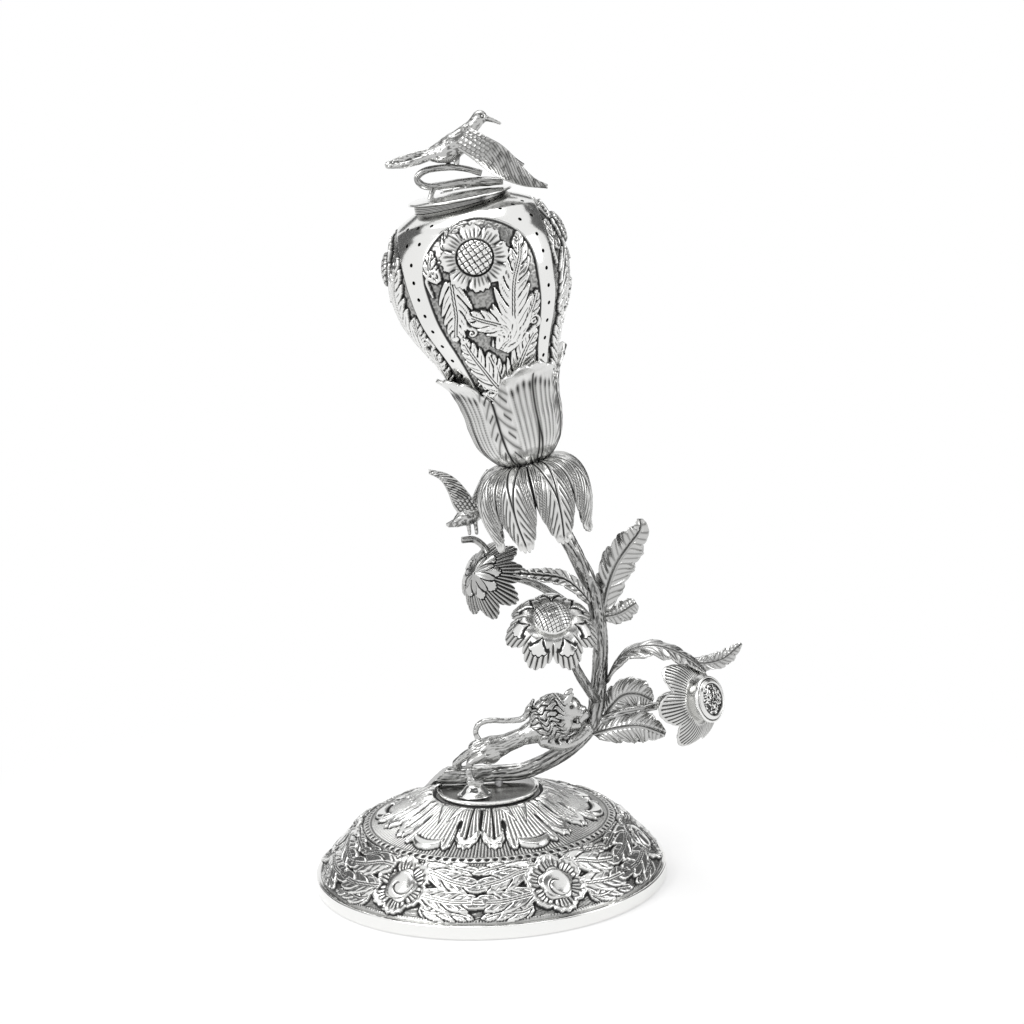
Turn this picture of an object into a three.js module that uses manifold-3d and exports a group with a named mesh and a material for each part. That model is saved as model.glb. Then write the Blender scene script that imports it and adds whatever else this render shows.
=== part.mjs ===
// A silver spice box in the form of a fruit on a branch. A domed foot carries a bark-textured branch with
// three flowers, leaves and a small bird, and a lion climbs it. The hollow fruit is pierced to let the scent
// out, and its hinged lid has a bird on a twig as its knob. Millimetres, +Z up, the front faces -Y.
import * as THREE from "three";
import { mergeVertices } from "three/addons/utils/BufferGeometryUtils.js";
import Module from "manifold-3d";

const wasm = await Module();
wasm.setup();

const CLEARANCE = 0.3; // between pieces that are seated on or soldered to each other
const MERGE_LENGTH = 0.12; // edges shorter than this, which joins and cuts leave behind, are merged

// The foot: rim wire, raised dome, and the polished plate on its crown
const RIM_RADIUS = 64;
const RIM_HEIGHT = 5;
const RIM_WIDTH = 3.4;
const DOME_INSET = 1.6; // from the rim's outside to the dome's edge
const DOME_RISE = 26.2; // from the rim's top to the dome's flat crown
const DOME_WALL = 1.4;
const PIT_RING_RADIUS = 44.5; // where the lower swell of the dome meets the upper slope
const PLATE_RADIUS = 18.5;
const PLATE_THICKNESS = 2.7;

// The branch, and the stud that bolts it down
const BRANCH_FOOT_RADIUS = 3;
const BRANCH_TOP_RADIUS = 2.6;
const STUD_RADIUS = 1.5;
const WASHER_RADIUS = 5.5;
const WASHER_THICKNESS = 1;
const NUT_RADIUS = 4;
const NUT_HEIGHT = 3;
const LEAF_METAL = 1; // thickness of the leaves' sheet
const PETAL_METAL = 0.9;

// The fruit. Its axis leans to the left from the joint between the two calyxes
const JOINT_X = 18.8;
const JOINT_RISE = 119.7; // above the plate
const LEAN = 11.4; // degrees
const FRUIT_RADIUS = 32;
const FRUIT_LENGTH = 94; // from the joint to the shell's top edge
const FRUIT_BOTTOM = 4; // from the joint to the shell's underside
const FRUIT_WALL = 1.2;
const MOUTH_RADIUS = 14;
const PIERCING_RADIUS = 0.65;
const PANEL_COUNT = 4;
const PANEL_TURN = 2; // degrees, from the front towards the right
const CALYX_METAL = 1;
const CALYX_FOOT_RADIUS = 9.2; // where the two calyxes meet
const LOWER_LEAF_COUNT = 8;
const UPPER_LEAF_COUNT = 4;
const UPPER_LEAF_TURN = -65; // degrees, of the leaf at the front right
const CALYX_SCREW_RADIUS = 2;
const CALYX_SCREW_LENGTH = 6;

// The lid and its hinge, which is at the back
const MOUTH_RING_RADIUS = 16.4;
const MOUTH_RING_HEIGHT = 1.4; // at its middle
const MOUTH_TILT = 3.5; // degrees, that the ring's top and the lid slope down to the right
const LID_RADIUS = 18.4;
const LID_EDGE = 0.8;
const LID_CROWN = 1.4; // the rise of its top from edge to centre
const BEZEL_GAP = 0.7; // between the mouth and the bezel that drops into it
const BEZEL_DEPTH = 4.2;
const BEZEL_WALL = 1;
const HINGE_LENGTH = 12;
const KNUCKLE_RADIUS = 1.8;
const PIN_RADIUS = 0.7;
const PIN_PLAY = 0.3;

const silver = new THREE.MeshStandardMaterial({ color: 0xd2d2d0, roughness: 0.2, metalness: 1 });
const darkSilver = new THREE.MeshStandardMaterial({ color: 0x94948f, roughness: 0.38, metalness: 1 });
const steel = new THREE.MeshStandardMaterial({ color: 0x9a9c9e, roughness: 0.35, metalness: 1 });

const { lerp, degToRad } = THREE.MathUtils;
const point = (x, y, z) => new THREE.Vector3(x, y, z);
const UP = point(0, 0, 1);

// A closed mesh as a solid. Its faces are turned over where they point inwards
function solid(geometry) {
  const bare = geometry.index ? geometry.toNonIndexed() : geometry;
  const plain = new THREE.BufferGeometry().setAttribute("position", bare.getAttribute("position"));
  const merged = mergeVertices(plain, 1e-4);
  const faces = [];
  for (let i = 0; i < merged.index.count; i += 3) {
    const [a, b, c] = [0, 1, 2].map((k) => merged.index.getX(i + k));
    if (a !== b && b !== c && c !== a) faces.push([a, b, c]);
  }
  const vertProperties = new Float32Array(merged.attributes.position.array);
  const make = (list) => {
    const triVerts = new Uint32Array(list.flat());
    return new wasm.Manifold(new wasm.Mesh({ numProp: 3, vertProperties, triVerts }));
  };
  const body = make(faces);
  return body.volume() > 0 ? body : make(faces.map(([a, b, c]) => [b, a, c]));
}

const join = (...bodies) => bodies.reduce((a, b) => a.add(b));
const cut = (body, ...tools) => tools.reduce((a, b) => a.subtract(b), body);

// Moves a body made about the origin to a place, with its +Z turned to a direction
function placed(body, at, direction = [0, 0, 1]) {
  const turn = new THREE.Quaternion().setFromUnitVectors(UP, point(...direction).normalize());
  const matrix = new THREE.Matrix4().compose(point(...at), turn, point(1, 1, 1));
  return body.transform(matrix.elements);
}

// A named mesh of one body. Crumbs that a cut left behind are dropped
function piece(name, body, material) {
  const whole = body.decompose().reduce((a, b) => (a.volume() > b.volume() ? a : b)).simplify(MERGE_LENGTH);
  const { vertProperties, triVerts } = whole.getMesh();
  const geometry = new THREE.BufferGeometry();
  geometry.setAttribute("position", new THREE.BufferAttribute(new Float32Array(vertProperties), 3));
  geometry.setIndex(new THREE.BufferAttribute(new Uint32Array(triVerts), 1));
  geometry.computeVertexNormals();
  const made = new THREE.Mesh(geometry, material);
  made.name = name;
  return made;
}

// Revolves a closed outline of [radius, height] points about +Z
function revolve(outline, sides = 36) {
  const points = [...outline, outline[0]].map(([r, z]) => new THREE.Vector2(r, z));
  return solid(new THREE.LatheGeometry(points, sides).rotateX(Math.PI / 2));
}

const cylinder = (radius, low, high, sides = 12) =>
  revolve([[0, low], [radius, low], [radius, high], [0, high]], sides);

// Joins rings of points, all of one count, into a closed body. It gets a fan at each end, unless it comes round
// to where it started
function loft(rings, comesRound = false) {
  const count = rings[0].length;
  const spots = [];
  const triangle = (...corners) => corners.forEach((p) => spots.push(p.x, p.y, p.z));
  const middle = (ring) => ring.reduce((sum, p) => sum.add(p), point(0, 0, 0)).divideScalar(count);
  const [first, last] = [rings[0], rings.at(-1)];
  const [start, end] = [middle(first), middle(last)];
  for (let j = 0; j < count; j++) {
    const next = (j + 1) % count;
    for (let i = 0; i + 1 < rings.length; i++) {
      triangle(rings[i][j], rings[i + 1][next], rings[i + 1][j]);
      triangle(rings[i][j], rings[i][next], rings[i + 1][next]);
    }
    if (comesRound) continue;
    triangle(first[j], start, first[next]);
    triangle(last[j], last[next], end);
  }
  const attribute = new THREE.Float32BufferAttribute(spots, 3);
  return solid(new THREE.BufferGeometry().setAttribute("position", attribute));
}

// A rod along a smooth route, with its radius given at each point of the route
function rod(route, radii, { steps = Math.round(1.3 * route.length), sides = 6 } = {}) {
  const curve = new THREE.CatmullRomCurve3(route.map((p) => point(...p)));
  const frames = curve.computeFrenetFrames(steps, false);
  const rings = frames.normals.map((normal, i) => {
    const share = (i / steps) * (radii.length - 1);
    const k = Math.min(Math.floor(share), radii.length - 2);
    const radius = lerp(radii[k], radii[k + 1], share - k);
    const at = curve.getPoint(i / steps);
    return Array.from({ length: sides }, (_, j) => {
      const angle = (2 * Math.PI * j) / sides;
      return at.clone()
        .addScaledVector(normal, radius * Math.cos(angle))
        .addScaledVector(frames.binormals[i], radius * Math.sin(angle));
    });
  });
  return loft(rings);
}

function egg([x, y, z], [width, depth, height], turn = 0) {
  const sphere = new THREE.SphereGeometry(1, 8, 6).rotateX(Math.PI / 2).scale(width, depth, height);
  return solid(sphere.rotateY(degToRad(turn)).translate(x, y, z));
}

// Curved sheet metal. middle(u, v) is a point of its middle surface, with u along it and v across it
function sheet(middle, along, across, thickness) {
  const step = 1e-3;
  const clamped = (u, v) => middle(THREE.MathUtils.clamp(u, 0, 1), THREE.MathUtils.clamp(v, 0, 1));
  const rings = [];
  for (let i = 0; i <= along; i++) {
    const [top, bottom] = [[], []];
    for (let j = 0; j <= across; j++) {
      const [u, v] = [i / along, j / across];
      const lengthwise = clamped(u + step, v).sub(clamped(u - step, v));
      const crosswise = clamped(u, v + step).sub(clamped(u, v - step));
      const normal = lengthwise.cross(crosswise).normalize();
      top.push(middle(u, v).addScaledVector(normal, thickness / 2));
      bottom.push(middle(u, v).addScaledVector(normal, -thickness / 2));
    }
    rings.push([...top, ...bottom.reverse()]);
  }
  return loft(rings);
}

// A lobed leaf or petal. It follows a spine, spreads to both sides of it, and its edges curl up by cup
function leaf({ spine, across, halfWidth, lobes = 3, cup = 0.2, metal = LEAF_METAL, steps = 10, tip = 0.97 }) {
  const curve = new THREE.CatmullRomCurve3(spine.map((p) => point(...p)));
  const sideways = point(...across).normalize();
  const reach = (u) => {
    const body = Math.sin(Math.PI * lerp(0.1, tip, u) ** 0.8) ** 0.7;
    const notch = Math.abs(Math.sin(Math.PI * lobes * u));
    return halfWidth * (body * (0.8 + 0.2 * notch) + 0.03);
  };
  const middle = (u, v) => {
    const tangent = curve.getTangent(u);
    const out = sideways.clone().addScaledVector(tangent, -sideways.dot(tangent)).normalize();
    const lift = out.clone().cross(tangent);
    const off = reach(u) * (2 * v - 1);
    return curve.getPoint(u).addScaledVector(out, off).addScaledVector(lift, (cup * off * off) / halfWidth);
  };
  return sheet(middle, steps, 2, metal);
}

// A ring of leaves or petals raised from one sheet, about +Z. The spine is the line down the middle of each, as
// [radius, height] points from its root out. Between two leaves the sheet stops short by notch, and sinks. One
// leaf points along turn
function rosette({ count, spine, notch, sink = 0.5, turn = 0, metal = PETAL_METAL, samples = 4, steps = 3 }) {
  const curve = new THREE.SplineCurve(spine.map(([r, z]) => new THREE.Vector2(r, z)));
  const middle = (u, v) => {
    const phase = 2 * Math.abs(((count * v) % 1) - 0.5); // 1 in the middle of a leaf, 0 between two
    const edge = 1 - notch * (1 - phase) ** 1.6;
    const share = u * edge;
    const at = curve.getPoint(share);
    const along = curve.getTangent(share);
    const down = sink * u * (1 - phase) ** 2;
    const angle = degToRad(turn) + 2 * Math.PI * v;
    const radius = at.x + down * along.y;
    return point(radius * Math.cos(angle), radius * Math.sin(angle), at.y - down * along.x);
  };
  const step = 1e-3;
  const around = count * samples;
  const rings = Array.from({ length: around }, (_, j) => {
    const v = j / around;
    const [top, bottom] = [[], []];
    for (let i = 0; i <= steps; i++) {
      const u = i / steps;
      const lengthwise = middle(Math.min(1, u + step), v).sub(middle(Math.max(0, u - step), v));
      const crosswise = middle(u, v + step).sub(middle(u, v - step + 1));
      const normal = lengthwise.cross(crosswise).normalize();
      top.push(middle(u, v).addScaledVector(normal, metal / 2));
      bottom.push(middle(u, v).addScaledVector(normal, -metal / 2));
    }
    return [...top, ...bottom.reverse()];
  });
  return loft([...rings, rings[0]], true);
}

// For a turned skin, given as a curve of [radius, height] with the outside on its right: the point of the skin
// nearest to a spot, and the direction square to it
function skinFinder(curve) {
  const samples = curve.getPoints(120);
  return (spot) => {
    const flat = new THREE.Vector2(Math.hypot(spot.x, spot.y), spot.z);
    const gaps = samples.map((sample) => sample.distanceTo(flat));
    const nearest = gaps.indexOf(Math.min(...gaps));
    const before = samples[Math.max(0, nearest - 1)];
    const after = samples[Math.min(samples.length - 1, nearest + 1)];
    const along = after.clone().sub(before).normalize();
    const angle = Math.atan2(spot.y, spot.x);
    const spun = (radius, height) => point(radius * Math.cos(angle), radius * Math.sin(angle), height);
    return { at: spun(samples[nearest].x, samples[nearest].y), out: spun(along.y, -along.x) };
  };
}

const RELIEF_ROOT = 1; // how deep the raised forms go into the sheet that they are chased from

// A leaf chased along a route on a skin, with its crest down the middle
function chasedLeaf(skin, route, halfWidth, rise) {
  const curve = new THREE.CatmullRomCurve3(route);
  const steps = route.length - 1;
  const section = [[-1, -RELIEF_ROOT], [-1, 0.4 * rise], [0, rise], [1, 0.4 * rise], [1, -RELIEF_ROOT]];
  return loft(Array.from({ length: steps + 1 }, (_, i) => {
    const spot = curve.getPoint(i / steps);
    const aside = curve.getTangent(i / steps).cross(skin(spot).out).normalize();
    const reach = halfWidth * Math.sin(Math.PI * lerp(0.1, 0.9, i / steps));
    return section.map(([side, up]) => {
      const { at, out } = skin(spot.clone().addScaledVector(aside, side * reach));
      return at.addScaledVector(out, up);
    });
  }));
}

// A flower chased on a skin, from rings of [radius, rise]
function chasedFlower(skin, middle, rings) {
  const { out } = skin(middle);
  const across = out.clone().cross(UP).normalize();
  const along = out.clone().cross(across);
  const sides = 8;
  return loft(rings.map(([radius, rise]) => Array.from({ length: sides }, (_, j) => {
    const angle = (2 * Math.PI * j) / sides;
    const spot = middle.clone()
      .addScaledVector(across, radius * Math.cos(angle))
      .addScaledVector(along, radius * Math.sin(angle));
    const nearest = skin(spot);
    return nearest.at.addScaledVector(nearest.out, rise);
  })));
}

const part = new THREE.Group();

// The foot
const domeBase = RIM_HEIGHT + CLEARANCE;
const domeEdge = RIM_RADIUS - DOME_INSET;
const domeCrown = RIM_HEIGHT + DOME_RISE;
const plateBase = domeCrown + CLEARANCE;
const deck = plateBase + PLATE_THICKNESS; // the level that the branch and the lion stand on

// A full lower swell up to the ring of pits, then a flatter slope up to the crown
function domeHeight(radius) {
  const pitHeight = lerp(domeBase, domeCrown, 0.66);
  if (radius > PIT_RING_RADIUS) {
    const share = (domeEdge - radius) / (domeEdge - PIT_RING_RADIUS);
    return lerp(domeBase, pitHeight, Math.sin((Math.PI / 2) * share) ** 0.8);
  }
  const share = Math.min(1, (PIT_RING_RADIUS - radius) / (PIT_RING_RADIUS - PLATE_RADIUS));
  return lerp(pitHeight, domeCrown, Math.sin((Math.PI / 2) * share));
}

// The chased forms: roses round the lower swell, with leaves in the gaps, and broad leaves under the plate
const ROSE_COUNT = 6;
const ROSE_RADIUS = 8.4;
const ROSE_RING_RADIUS = 55.5;
const FIRST_ROSE = -126; // degrees
const ROSE_RISE = 2.2;
const GAP_LEAF_REACH = 15;
const GAP_LEAF_RISE = 1.2;
const BROAD_LEAF_RISE = 1.8;

// How far the chasing rises over the dome's skin, at an angle and a radius
function domeRise(angle, radius) {
  const step = 360 / ROSE_COUNT;
  const away = Math.abs(((angle - FIRST_ROSE + 1.5 * step) % step) - step / 2); // degrees from the nearest rose
  const swell = (distance, rise) => rise * Math.sqrt(Math.max(0, 1 - distance ** 2));
  if (radius < PIT_RING_RADIUS) {
    const share = (radius - PLATE_RADIUS) / (PIT_RING_RADIUS - PLATE_RADIUS);
    return swell(Math.hypot(away / 29, (share - 0.44) / 0.42), BROAD_LEAF_RISE);
  }
  const outwards = radius - ROSE_RING_RADIUS;
  const fromRose = Math.hypot(degToRad(away) * radius, 1.5 * outwards);
  const fromGap = Math.hypot(degToRad(step / 2 - away) * radius, 2.2 * outwards);
  return Math.max(swell(fromRose / ROSE_RADIUS, ROSE_RISE), swell(fromGap / GAP_LEAF_REACH, GAP_LEAF_RISE));
}

const branchBehind = 4.5; // the branch lies this far behind the foot's centre
const studX = 4;
const studTop = deck + CLEARANCE + BRANCH_FOOT_RADIUS;
const studEnd = domeCrown - DOME_WALL - 2 * CLEARANCE - WASHER_THICKNESS - NUT_HEIGHT - 1.5;
const studHole = placed(
  cylinder(STUD_RADIUS + CLEARANCE, studEnd - 1, studTop + CLEARANCE),
  [studX, branchBehind, 0],
);

function footRim() {
  const inside = RIM_RADIUS - RIM_WIDTH;
  const rounding = 0.5;
  return revolve([
    [inside, 0],
    [RIM_RADIUS, 0],
    [RIM_RADIUS, RIM_HEIGHT - rounding],
    [RIM_RADIUS - rounding, RIM_HEIGHT],
    [inside, RIM_HEIGHT],
  ], 32);
}

function footDome() {
  const rows = [
    ...[0, 0.12, 0.26, 0.4, 0.54, 0.7, 0.86].map((share) => lerp(domeEdge, PIT_RING_RADIUS, share)),
    ...[0, 0.17, 0.36, 0.56, 0.78, 1].map((share) => lerp(PIT_RING_RADIUS, PLATE_RADIUS, share)),
  ];
  const around = 9 * ROSE_COUNT;
  const rings = Array.from({ length: around }, (_, j) => {
    const angle = FIRST_ROSE + (360 * j) / around;
    const [c, s] = [Math.cos(degToRad(angle)), Math.sin(degToRad(angle))];
    const outside = rows.map((radius) => [radius, domeHeight(radius) + domeRise(angle, radius)]);
    return [...outside, [0, domeCrown], [0, domeBase]].map(([r, z]) => point(r * c, r * s, z));
  });
  const steps = 5;
  const inside = Array.from({ length: steps }, (_, i) => {
    const radius = lerp(domeEdge - 2 * DOME_WALL, PLATE_RADIUS, i / steps);
    return [radius, i ? domeHeight(radius + DOME_WALL / 2) - DOME_WALL : domeBase];
  });
  const hollow = revolve([
    [0, domeBase - 1],
    [domeEdge - 2 * DOME_WALL, domeBase - 1],
    ...inside,
    [PLATE_RADIUS - DOME_WALL / 2, domeCrown - DOME_WALL],
    [0, domeCrown - DOME_WALL],
  ], 28);
  return cut(loft([...rings, rings[0]], true), hollow, studHole);
}

function footPlate() {
  const step = 0.35 * PLATE_THICKNESS;
  const groove = 0.4;
  const rounding = 0.3;
  return cut(revolve([
    [0, plateBase],
    [PLATE_RADIUS - groove, plateBase],
    [PLATE_RADIUS - groove, plateBase + step],
    [PLATE_RADIUS, plateBase + step + groove],
    [PLATE_RADIUS, deck - rounding],
    [PLATE_RADIUS - rounding, deck],
    [0, deck],
  ], 32), studHole);
}

const stud = placed(cylinder(STUD_RADIUS, studEnd, studTop), [studX, branchBehind, 0]);
const washerTop = domeCrown - DOME_WALL - CLEARANCE;
const nutTop = washerTop - WASHER_THICKNESS - CLEARANCE;
const washer = placed(
  cut(
    cylinder(WASHER_RADIUS, washerTop - WASHER_THICKNESS, washerTop, 18),
    cylinder(STUD_RADIUS + CLEARANCE, 0, deck),
  ),
  [studX, branchBehind, 0],
);
const nut = placed(
  cut(cylinder(NUT_RADIUS, nutTop - NUT_HEIGHT, nutTop, 6), cylinder(STUD_RADIUS + CLEARANCE, 0, deck)),
  [studX, branchBehind, 0],
);

part.add(piece("foot_rim", footRim(), silver));
part.add(piece("foot_dome", footDome(), silver));
part.add(piece("foot_plate", footPlate(), silver));
part.add(piece("branch_stud", stud, steel));
part.add(piece("branch_washer", washer, steel));
part.add(piece("branch_nut", nut, steel));

// Everything on the plate is laid out from the plate's centre: right, back, up
const onPlate = new THREE.Group();
onPlate.position.z = deck;
part.add(onPlate);

const lie = CLEARANCE + BRANCH_FOOT_RADIUS; // the height of the branch's centre where it lies on the plate
const branchRoute = [
  [-26, branchBehind + 0.5, lie - 1.6],
  [-19, branchBehind + 0.5, lie - 0.1],
  [-13, branchBehind, lie],
  [-5, branchBehind, lie],
  [4, branchBehind, lie],
  [13, branchBehind, lie + 0.4],
  [19.5, branchBehind, lie + 2.4],
  [26, branchBehind, lie + 5.7],
  [32.6, branchBehind, lie + 10.2],
  [38, branchBehind, 19.4],
  [40.6, branchBehind, 26],
  [41.8, 4.5, 35.4],
  [42.9, 4.3, 45.2],
  [42.9, 4, 53.8],
  [42.2, 3.4, 63.3],
  [40, 2.6, 72.9],
  [36.2, 1.6, 82.5],
  [31.6, 0.6, 92.1],
  [27.2, 0, 101.5],
  [JOINT_X + 4.3, 0, JOINT_RISE - 10.2],
  [JOINT_X + 1.6, 0, JOINT_RISE - 5.2],
];
const branchRod = (grow = 0) =>
  rod(branchRoute, [BRANCH_FOOT_RADIUS + grow, BRANCH_TOP_RADIUS + grow], { steps: 26, sides: 8 });
const nearBranch = branchRod(CLEARANCE);

function branch() {
  const slant = 40; // degrees, of the cut at the branch's thick end
  const waste = solid(new THREE.BoxGeometry(40, 20, 16).translate(0, 0, 8).rotateY(-degToRad(slant)));
  const bore = studHole.translate([0, 0, -deck]);
  return cut(branchRod(), waste.translate([-23.2, branchBehind, -1]), bore);
}
onPlate.add(piece("branch", branch(), darkSilver));

// Flowers face along +Z as made. The first is a closed bell seen from outside, the others show a centre
const flower1 = { at: [-0.9, 5, 78.3], faces: [-0.6, -0.68, 0.42] };
const flower2 = { at: [25.6, -12, 64.6], faces: [0.05, -0.65, 0.75] };
const flower3 = { at: [64, 4.4, 26.1], faces: [0.75, -0.61, 0.24] };
const flower3Length = 22; // from the tube's round end to the button's seat
const buttonRadius = 7.3;

const bell = (grow = 0) => placed(
  join(
    rosette({
      count: 8,
      turn: 22.5,
      spine: [[1.5, -0.6], [5, -2.2], [10, -6], [14 + grow, -11]],
      notch: 0.3,
      metal: PETAL_METAL + 2 * grow,
    }),
    egg([0, 0, -1], [3, 3, 1.4 + grow]),
  ),
  flower1.at,
  flower1.faces,
);

const seatDepth = 1.6; // of the plate that carries a flower's petals and its centre
const daisyPetals = placed(
  join(
    rosette({ count: 7, turn: -13, spine: [[5, -1], [10, -1.6], [14, -5], [16.4, -9.5]], notch: 0.3 }),
    cylinder(7, -seatDepth, -CLEARANCE, 16),
  ),
  flower2.at,
  flower2.faces,
);
const daisyCentre = placed(
  revolve([[0, 0], [6.7, 0], [6.3, 1.5], [4.6, 3], [2.4, 3.8], [0, 4]], 18),
  flower2.at,
  flower2.faces,
);

const trumpet = (grow = 0) => placed(
  cut(
    revolve([
      [0, -grow],
      [3.2 + grow, 0.5 - grow],
      [4.6 + grow, 3],
      [5.1 + grow, 7],
      [5.3 + grow, 13],
      [6.2 + grow, 17],
      [buttonRadius + 1 + grow, flower3Length],
      [buttonRadius + 1 + grow, flower3Length + 1],
      [0, flower3Length + 1],
    ], 18),
    cylinder(buttonRadius + CLEARANCE, flower3Length, flower3Length + 3, 18),
  ),
  flower3.at,
  flower3.faces,
);
const button = placed(
  revolve([
    [0, flower3Length + CLEARANCE],
    [buttonRadius, flower3Length + CLEARANCE],
    [buttonRadius, flower3Length + 1.4],
    [buttonRadius - 1, flower3Length + 2],
    [0, flower3Length + 2.6],
  ], 18),
  flower3.at,
  flower3.faces,
);
const trumpetPetals = (grow = 0) => placed(
  rosette({
    count: 6,
    turn: -10,
    spine: [[6.6, 17.4], [9.5, 17.8], [13, 15.4], [15.8 + grow, 11]],
    notch: 0.42,
    metal: PETAL_METAL + 2 * grow,
  }),
  flower3.at,
  flower3.faces,
);

const twig1 = rod(
  [[43, 4.5, 56], [34, 8, 63], [26.6, 10, 68.3], [19.4, 11, 72.5], [11, 10.5, 75.3], [3, 8, 76.6]],
  [1.8, 1.5, 1.2],
);
const twig2 = rod(
  [[41, 3, 29.5], [38.6, -1, 34], [36, -4, 39], [33.8, -7, 44], [31.5, -9, 50], [28.2, -10.4, 58]],
  [2, 1.7, 1.3],
);
const twig3 = (grow = 0) =>
  rod([[42, 4, 21.5], [50, 2.6, 24.5], [57, 2.8, 25.4], [65, 4.4, 26.2]], [1.8 + grow, 1.5 + grow]);

const nearBell = bell(CLEARANCE);
onPlate.add(piece("flower_1_twig", cut(twig1, nearBranch, nearBell), darkSilver));
onPlate.add(piece("flower_1_bell", bell(), darkSilver));
onPlate.add(piece("flower_2_twig", cut(twig2, nearBranch, placed(
  cylinder(9, -seatDepth - CLEARANCE, 9, 18), flower2.at, flower2.faces)), darkSilver));
onPlate.add(piece("flower_2_petals", daisyPetals, silver));
onPlate.add(piece("flower_2_centre", daisyCentre, silver));
onPlate.add(piece("flower_3_twig", cut(twig3(), nearBranch, trumpet(CLEARANCE)), darkSilver));
onPlate.add(piece("flower_3_trumpet", trumpet(), silver));
onPlate.add(piece("flower_3_petals", cut(trumpetPetals(), trumpet(CLEARANCE)), silver));
onPlate.add(piece("flower_3_button", button, silver));

// The leaves that grow from the branch. Each is cut where it is soldered on
const nearPetals = trumpetPetals(CLEARANCE);
const archingLeaf = (grow = 0) => leaf({
  spine: [[44.6, 4, 35], [48.5, 2.5, 43.5], [54, 1, 48], [60.5, 0, 49.6], [67, -0.5, 48.3], [74.5, -2, 44.4],
    [80, -4, 40]],
  across: [0.2, 1, 0.35],
  halfWidth: 5 + grow,
  metal: LEAF_METAL + 2 * grow,
  lobes: 5,
  steps: 12,
});
const lowFrontLeaf = (grow = 0) => leaf({
  spine: [[39, 3, 16.8], [48, 0, 19.6], [56, -1.5, 20.4], [65, -3, 17.3]],
  across: [0.2, 0.4, 1],
  halfWidth: 6 + grow,
  metal: LEAF_METAL + 2 * grow,
  lobes: 4,
  cup: 0.25,
});
const leaves = {
  leaf_tall: leaf({
    spine: [[44, 4.5, 62], [47, 5, 72.8], [52, 4.5, 80.8], [58, 3.5, 87], [62, 2.5, 92], [61, 4.5, 95]],
    across: [-0.75, 0.25, 0.5],
    halfWidth: 7.6,
    lobes: 4,
    steps: 12,
  }),
  leaf_small: leaf({
    spine: [[45, 4.5, 60], [51, 5.5, 61.3], [56, 6, 64.3]],
    across: [-0.4, 0.3, 0.9],
    halfWidth: 3.6,
    steps: 6,
    tip: 0.85,
  }),
  leaf_arching: archingLeaf(),
  leaf_pointed: cut(leaf({
    spine: [[75, 3, 42.5], [81, 6, 40.8], [88, 8, 41.8], [94.2, 9, 46.2]],
    across: [0.2, 0.3, 0.95],
    halfWidth: 4,
    steps: 8,
  }), archingLeaf(CLEARANCE)),
  leaf_low_back: leaf({
    spine: [[43.5, 5, 23], [50, 6, 29.5], [56, 6, 30.2], [61.5, 5.4, 27.6]],
    across: [0.3, 0.3, 1],
    halfWidth: 6,
    cup: 0.1,
    lobes: 4,
  }),
  leaf_low_front: lowFrontLeaf(),
  leaf_narrow: cut(leaf({
    spine: [[40, 0.5, 66], [36, -3.5, 72.3], [30, -4.6, 77.4], [21, -4.6, 79.2], [12, -3, 79.8]],
    across: [0.3, 0.5, 0.8],
    halfWidth: 2.7,
    lobes: 5,
    steps: 12,
  }), nearBell),
};
const nearStems = [nearBranch, twig3(CLEARANCE), trumpet(CLEARANCE), nearPetals];
for (const [name, body] of Object.entries(leaves)) {
  const tools = name === "leaf_low_back" ? [...nearStems, lowFrontLeaf(CLEARANCE)] : nearStems;
  onPlate.add(piece(name, cut(body, ...tools), darkSilver));
}

// The lion: hind feet on a round mound and on the branch's end, forepaws round the rising branch
const moundX = -4.9;
const moundY = -9.6;
const moundRadius = 6;
const moundHeight = 4.4;
const mound = placed(
  revolve([
    [0, CLEARANCE],
    [moundRadius, CLEARANCE],
    [moundRadius, CLEARANCE + 0.5],
    [0.8 * moundRadius, 0.5 * moundHeight],
    [0.45 * moundRadius, 0.85 * moundHeight],
    [0, moundHeight],
  ], 18),
  [moundX, moundY, 0],
);

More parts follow.
